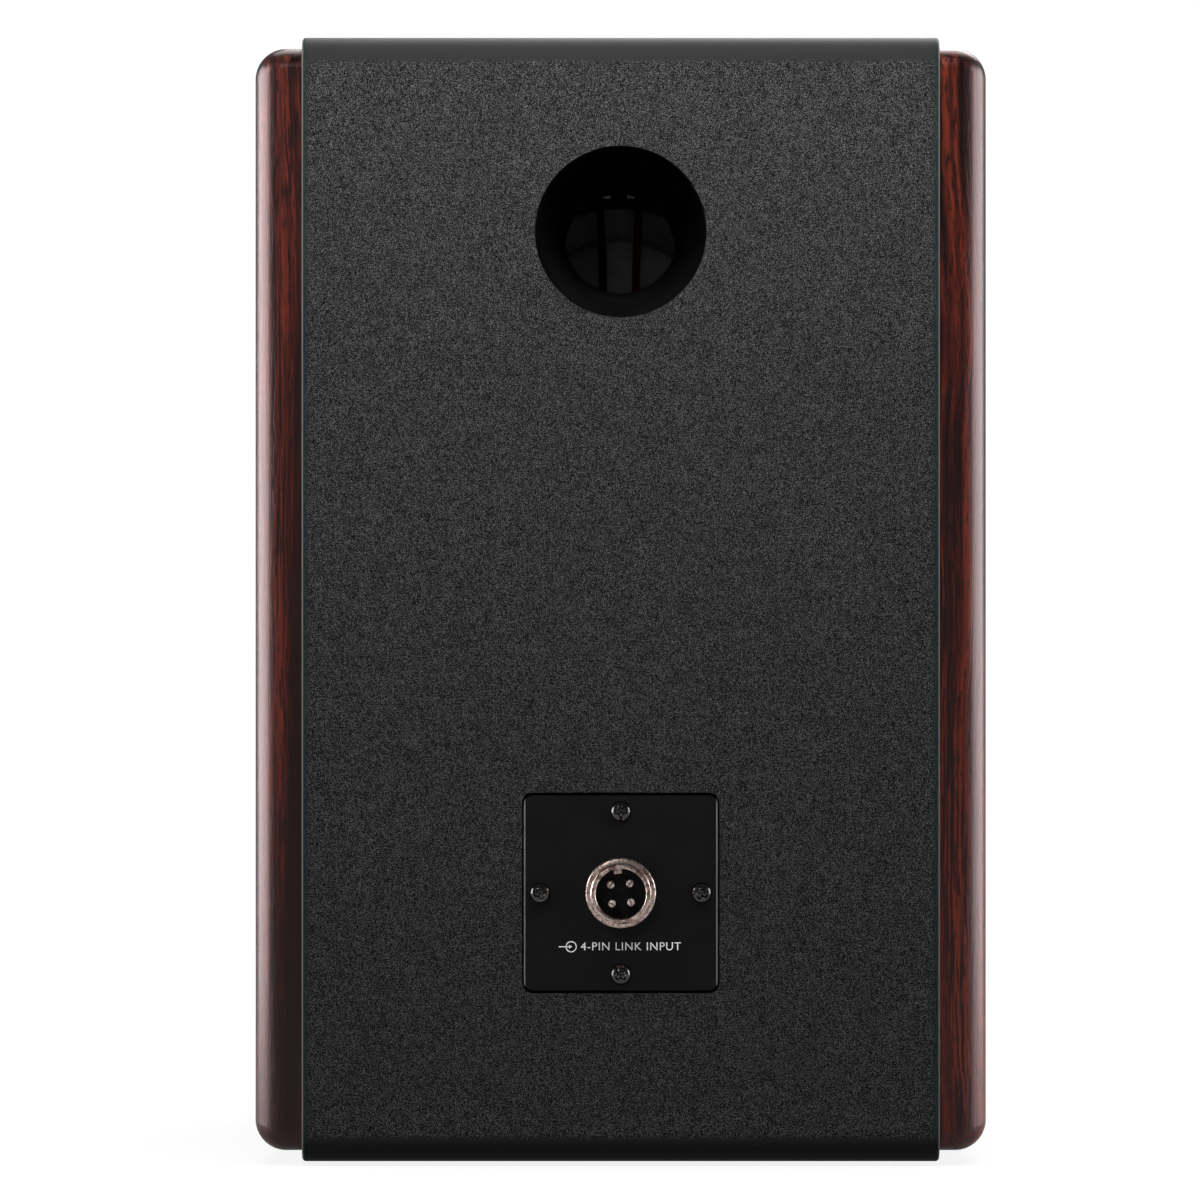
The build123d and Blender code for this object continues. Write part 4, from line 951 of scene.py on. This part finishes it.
def grille_cloth():
    low, high = corners("grille_cloth")
    middle_z = (low.z + high.z) / 2
    width, height = high.x - low.x, high.z - low.z
    roll, roll_steps = 3.0 * MM, 8
    front = low.y
    depth = high.y - low.y
    rings = []
    # The sides, from the back edge forward, then round the roll on to the face.
    for y in (high.y, high.y - 1.5 * MM, front + depth / 2, front + roll):
        rings.append((0.0, y))
    for step in range(1, roll_steps + 1):
        angle = math.pi / 2 * step / roll_steps
        rings.append((roll * (1 - math.cos(angle)), front + roll * (1 - math.sin(angle))))
    # Over the frame the cloth is tight, and past the bars it dips a little towards the drivers.
    face = (5.0, 7.5, 9.5, 12.0, 16.0, 22.0, 30.0, 40.0, 50.0, 60.0, 70.0, 76.0, 79.5)
    for inset in face:
        dip = 0.25 * MM * min(1.0, max(0.0, (inset - 8.0) / 14.0))
        rings.append((inset * MM, front + dip))
    points = []
    for inset, y in rings:
        corner = max(0.6 * MM, 5.0 * MM - inset)
        loop = rounded_loop(width - 2 * inset, height - 2 * inset, corner)
        points += [(x, y, middle_z + z) for x, z in loop]
    around = len(points) // len(rings)
    faces = ring_faces(len(rings), around, False)
    last = (len(rings) - 1) * around
    faces.append(tuple(last + step for step in range(around)))
    piece = new_piece("grille_knit", points, faces)
    shell = piece.modifiers.new("thickness", "SOLIDIFY")
    shell.thickness = 0.45 * MM
    shell.offset = -1.0
    finish_piece(piece, "grille_fabric", "grille_cloth")
    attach(piece, "grille")


grille_cloth()


# ---- Wadding --------------------------------------------------------------------------------------
def fluffy(node, name):
    """A fibre pad in a CAD block's place: remeshed, with a lumpy surface inside the block's."""
    shrink, lump_depth, tuft_depth = 0.2 * MM, 1.2 * MM, 0.5 * MM
    source = frame["nodes"][node]
    piece = source.copy()
    piece.data = source.data.copy()
    piece.name = name
    piece.parent = None
    bpy.context.collection.objects.link(piece)
    remesh = piece.modifiers.new("remesh", "REMESH")
    remesh.mode = "VOXEL"
    remesh.voxel_size = 3.5 * MM
    mesh = applied(piece)
    piece.modifiers.clear()
    piece.data = mesh
    for vertex in mesh.vertices:
        at = vertex.co / (17 * MM)
        lump = math.sin(at.x * 1.3 + 2 * math.sin(at.z)) * math.sin(at.y * 1.1 + at.z * 0.7)
        tuft = math.sin(at.x * 5.1 + at.y * 3.7) * math.sin(at.z * 4.3 + at.x)
        depth = shrink + lump_depth * (0.5 + 0.5 * lump) + tuft_depth * (0.5 + 0.5 * tuft)
        vertex.co -= vertex.normal * depth
    mesh.shade_smooth()
    finish_piece(piece, "wadding_white", node)
    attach(piece, "cabinet")


fluffy("side_wadding", "side_fibre")
fluffy("rear_wadding", "rear_fibre")


# ---- Floor, light and backdrop --------------------------------------------------------------------
FLOOR_SIZE = 30.0


def floor():
    """A pale floor that fades to the backdrop's white. It glows only as cameras and glosses see it."""
    half = FLOOR_SIZE / 2
    points = [(-half, -half, 0), (half, -half, 0), (half, half, 0), (-half, half, 0)]
    piece = new_piece("floor", points, [(0, 1, 2, 3)], smooth=False)
    made = Finish("pale_floor", rough=0.9, Specular_IOR_Level=0.1)
    cloud = made.noise(0.5)
    made.colour(made.ramp(cloud, (0.3, 0.075), (0.7, 0.085)))
    made.shader.inputs["Emission Color"].default_value = (1, 1, 1, 1)
    distance = made.node("VectorMath", made.place, operation="LENGTH", output=1)
    glow = made.nodes.new("ShaderNodeMapRange")
    made.put(glow.inputs["Value"], made.between(distance, 0.2, 0.9))
    glow.inputs["To Min"].default_value = 0.86
    glow.inputs["To Max"].default_value = 1.05
    mirrored = made.math("MULTIPLY", made.node("LightPath", output="Is Glossy Ray"), 0.3)
    seen = made.math("ADD", made.node("LightPath", output="Is Camera Ray"), mirrored)
    strength = made.math("MULTIPLY", glow.outputs["Result"], seen)
    made.put(made.shader.inputs["Emission Strength"], strength)
    paint(piece, made.material)


def softbox(name, size, place, aim, power, glossy=True):
    """A flat lamp that the camera never sees; without `glossy` it isn't seen in reflections either."""
    data = bpy.data.lights.new(name, "AREA")
    data.shape = "RECTANGLE"
    data.size, data.size_y = size
    data.energy = power
    lamp = add_object(name, data)
    lamp.location = place
    direction = Vector(aim) - Vector(place)
    lamp.rotation_euler = direction.to_track_quat("-Z", "Y").to_euler()
    lamp.visible_camera = False
    lamp.visible_glossy = glossy


def world():
    """White behind the object, and a dim even light all round that is weakest behind the camera."""
    made = bpy.data.worlds.new("studio")
    made.use_nodes = True
    nodes, links = made.node_tree.nodes, made.node_tree.links
    background = nodes["Background"]
    direction = nodes.new("ShaderNodeSeparateXYZ")
    links.new(nodes.new("ShaderNodeTexCoord").outputs["Generated"], direction.inputs[0])
    around = nodes.new("ShaderNodeMapRange")
    around.inputs["From Min"].default_value = 1.0
    around.inputs["From Max"].default_value = -1.0
    around.inputs["To Min"].default_value = 0.02
    around.inputs["To Max"].default_value = 0.2
    links.new(direction.outputs["Y"], around.inputs["Value"])
    path = nodes.new("ShaderNodeLightPath")
    strength = nodes.new("ShaderNodeMapRange")
    strength.inputs["To Max"].default_value = 1.05
    links.new(around.outputs["Result"], strength.inputs["To Min"])
    links.new(path.outputs["Is Camera Ray"], strength.inputs["Value"])
    links.new(strength.outputs["Result"], background.inputs["Strength"])
    background.inputs["Color"].default_value = (1, 1, 1, 1)
    bpy.context.scene.world = made


floor()
world()
# The back is lit from close above, so that it darkens downwards, with a weak fill and a small bright
# lamp for the metal. The left and right walls, as seen from behind, draw the highlights on the wood.
softbox("overhead_behind", (0.7, 0.1), (0, back_y + 0.18, 0.46), (0, back_y, 0.2), 3.9, glossy=False)
softbox("fill_behind", (0.3, 0.3), (0.06, back_y + 1.9, 0.32), (0, back_y, 0.24), 0.5, glossy=False)
softbox("spark_behind", (0.12, 0.12), (0.4, back_y + 1.6, 0.8), (0, back_y, 0.1), 2.2)
softbox("overhead_front", (1.4, 1.0), (-0.5, -1.3, 1.5), (0, 0, body_middle_z), 26.0)
softbox("overhead_top", (1.2, 0.7), (0, -0.3, 1.2), (0, -0.3, 0), 9.0)
softbox("left_wall", (0.76, 0.6), (0.8, 0.03, 0.2), (0, 0.03, 0.2), 12.4)
softbox("right_wall", (0.76, 0.6), (-0.8, 0.03, 0.2), (0, 0.03, 0.2), 9.0)
